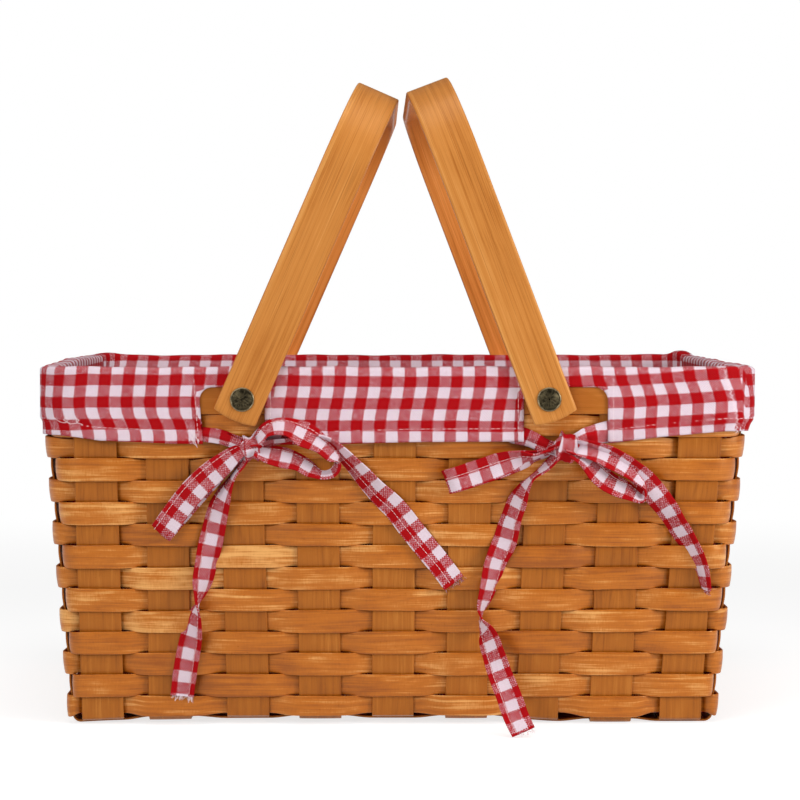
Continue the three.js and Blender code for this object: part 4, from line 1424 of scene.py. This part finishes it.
CAMERA_LENS = 109.4
CAMERA_PLACE = (-0.0104, -1.5355, 0.2528)
CAMERA_DOWN = 2.541
CAMERA_RIGHT = 0.529


def add_camera():
    """The photograph's view: from a little left of the middle, just above the rim, through a long lens."""
    lens = bpy.data.cameras.new("camera")
    lens.lens, lens.sensor_width, lens.sensor_fit = CAMERA_LENS, 36, "HORIZONTAL"
    camera = add_object("camera", lens)
    camera.location = CAMERA_PLACE
    camera.rotation_euler = ((90 - CAMERA_DOWN) * DEG, 0, -CAMERA_RIGHT * DEG)
    bpy.context.scene.camera = camera


def seen(finish):
    """1 where the camera sees it straight, in a mirror or through glass."""
    rays = finish.node("ShaderNodeLightPath")
    outputs = rays.socket.node.outputs
    kinds = [Wire(finish, outputs[k]) for k in ("Is Camera Ray", "Is Glossy Ray", "Is Transmission Ray")]
    return (kinds[0] + kinds[1] + kinds[2]).step(0, 0.5)


def add_floor():
    """A wide pale floor that keeps the object's shadow and, further off, is as white as the surround."""
    half = 6000.0
    corners = np.array([[-half, -half, 0], [half, -half, 0], [half, half, 0], [-half, half, 0]])
    finish = Finish("pale_floor", Base_Color=(0.8, 0.8, 0.8, 1), Roughness=1.0)
    glow = finish.node("ShaderNodeEmission", {}, {"Strength": 0.74})
    matte = finish.node("ShaderNodeBsdfDiffuse", {}, {"Color": (0.42, 0.42, 0.42, 1)})
    near = finish.node("ShaderNodeAddShader", {}, {0: glow, 1: matte})
    white = finish.node("ShaderNodeEmission", {}, {"Strength": 1.0})
    place = finish.node("ShaderNodeTexCoord", {}, {}, 3)
    distance = finish.node("ShaderNodeVectorMath", {"operation": "LENGTH"}, {0: place}, 1)
    pale = finish.node("ShaderNodeMixShader", {}, {0: distance.step(0.45, 1.3), 1: near, 2: white})
    plain = Wire(finish, finish.shader.outputs[0])
    choice = finish.node("ShaderNodeMixShader", {}, {0: seen(finish), 1: plain, 2: pale})
    finish.feed(finish.tree.nodes["Material Output"].inputs["Surface"], choice)
    mesh = bpy.data.meshes.new("floor")
    mesh.from_pydata((corners * MM).tolist(), [], [(0, 1, 2, 3)])
    mesh.materials.append(finish.material)
    floor = add_object("floor", mesh)


def light_world():
    """A soft white surround, which the camera sees as plain white."""
    world = bpy.data.worlds.new("surround")
    bpy.context.scene.world = world
    world.use_nodes = True
    tree = world.node_tree
    surround = tree.nodes["Background"]
    surround.inputs[0].default_value = (1, 0.985, 0.965, 1)
    surround.inputs[1].default_value = 0.115
    white = tree.nodes.new("ShaderNodeBackground")
    white.inputs[0].default_value = (1, 1, 1, 1)
    rays = tree.nodes.new("ShaderNodeLightPath")
    choice = tree.nodes.new("ShaderNodeMixShader")
    tree.links.new(rays.outputs["Is Camera Ray"], choice.inputs[0])
    tree.links.new(surround.outputs[0], choice.inputs[1])
    tree.links.new(white.outputs[0], choice.inputs[2])
    tree.links.new(choice.outputs[0], tree.nodes["World Output"].inputs[0])


add_camera()
add_floor()
light_world()
add_light("front_soft_box", (-0.9, -1.6, 0.8), (0, 0, 0.14), wide=0.7, high=0.38, energy=9.1)
add_light("left_soft_box", (-0.72, -0.62, 0.68), (-0.08, 0, 0.16), wide=0.35, high=0.35, energy=2.0)
add_light("right_soft_box", (0.85, -0.62, 0.42), (0.05, 0, 0.12), wide=0.35, high=0.35, energy=6.0)
add_light("top_soft_box", (0, -0.4, 1.5), (0, 0, 0.1), wide=0.8, high=0.8, energy=9)
bpy.context.scene.view_settings.view_transform = "Standard"
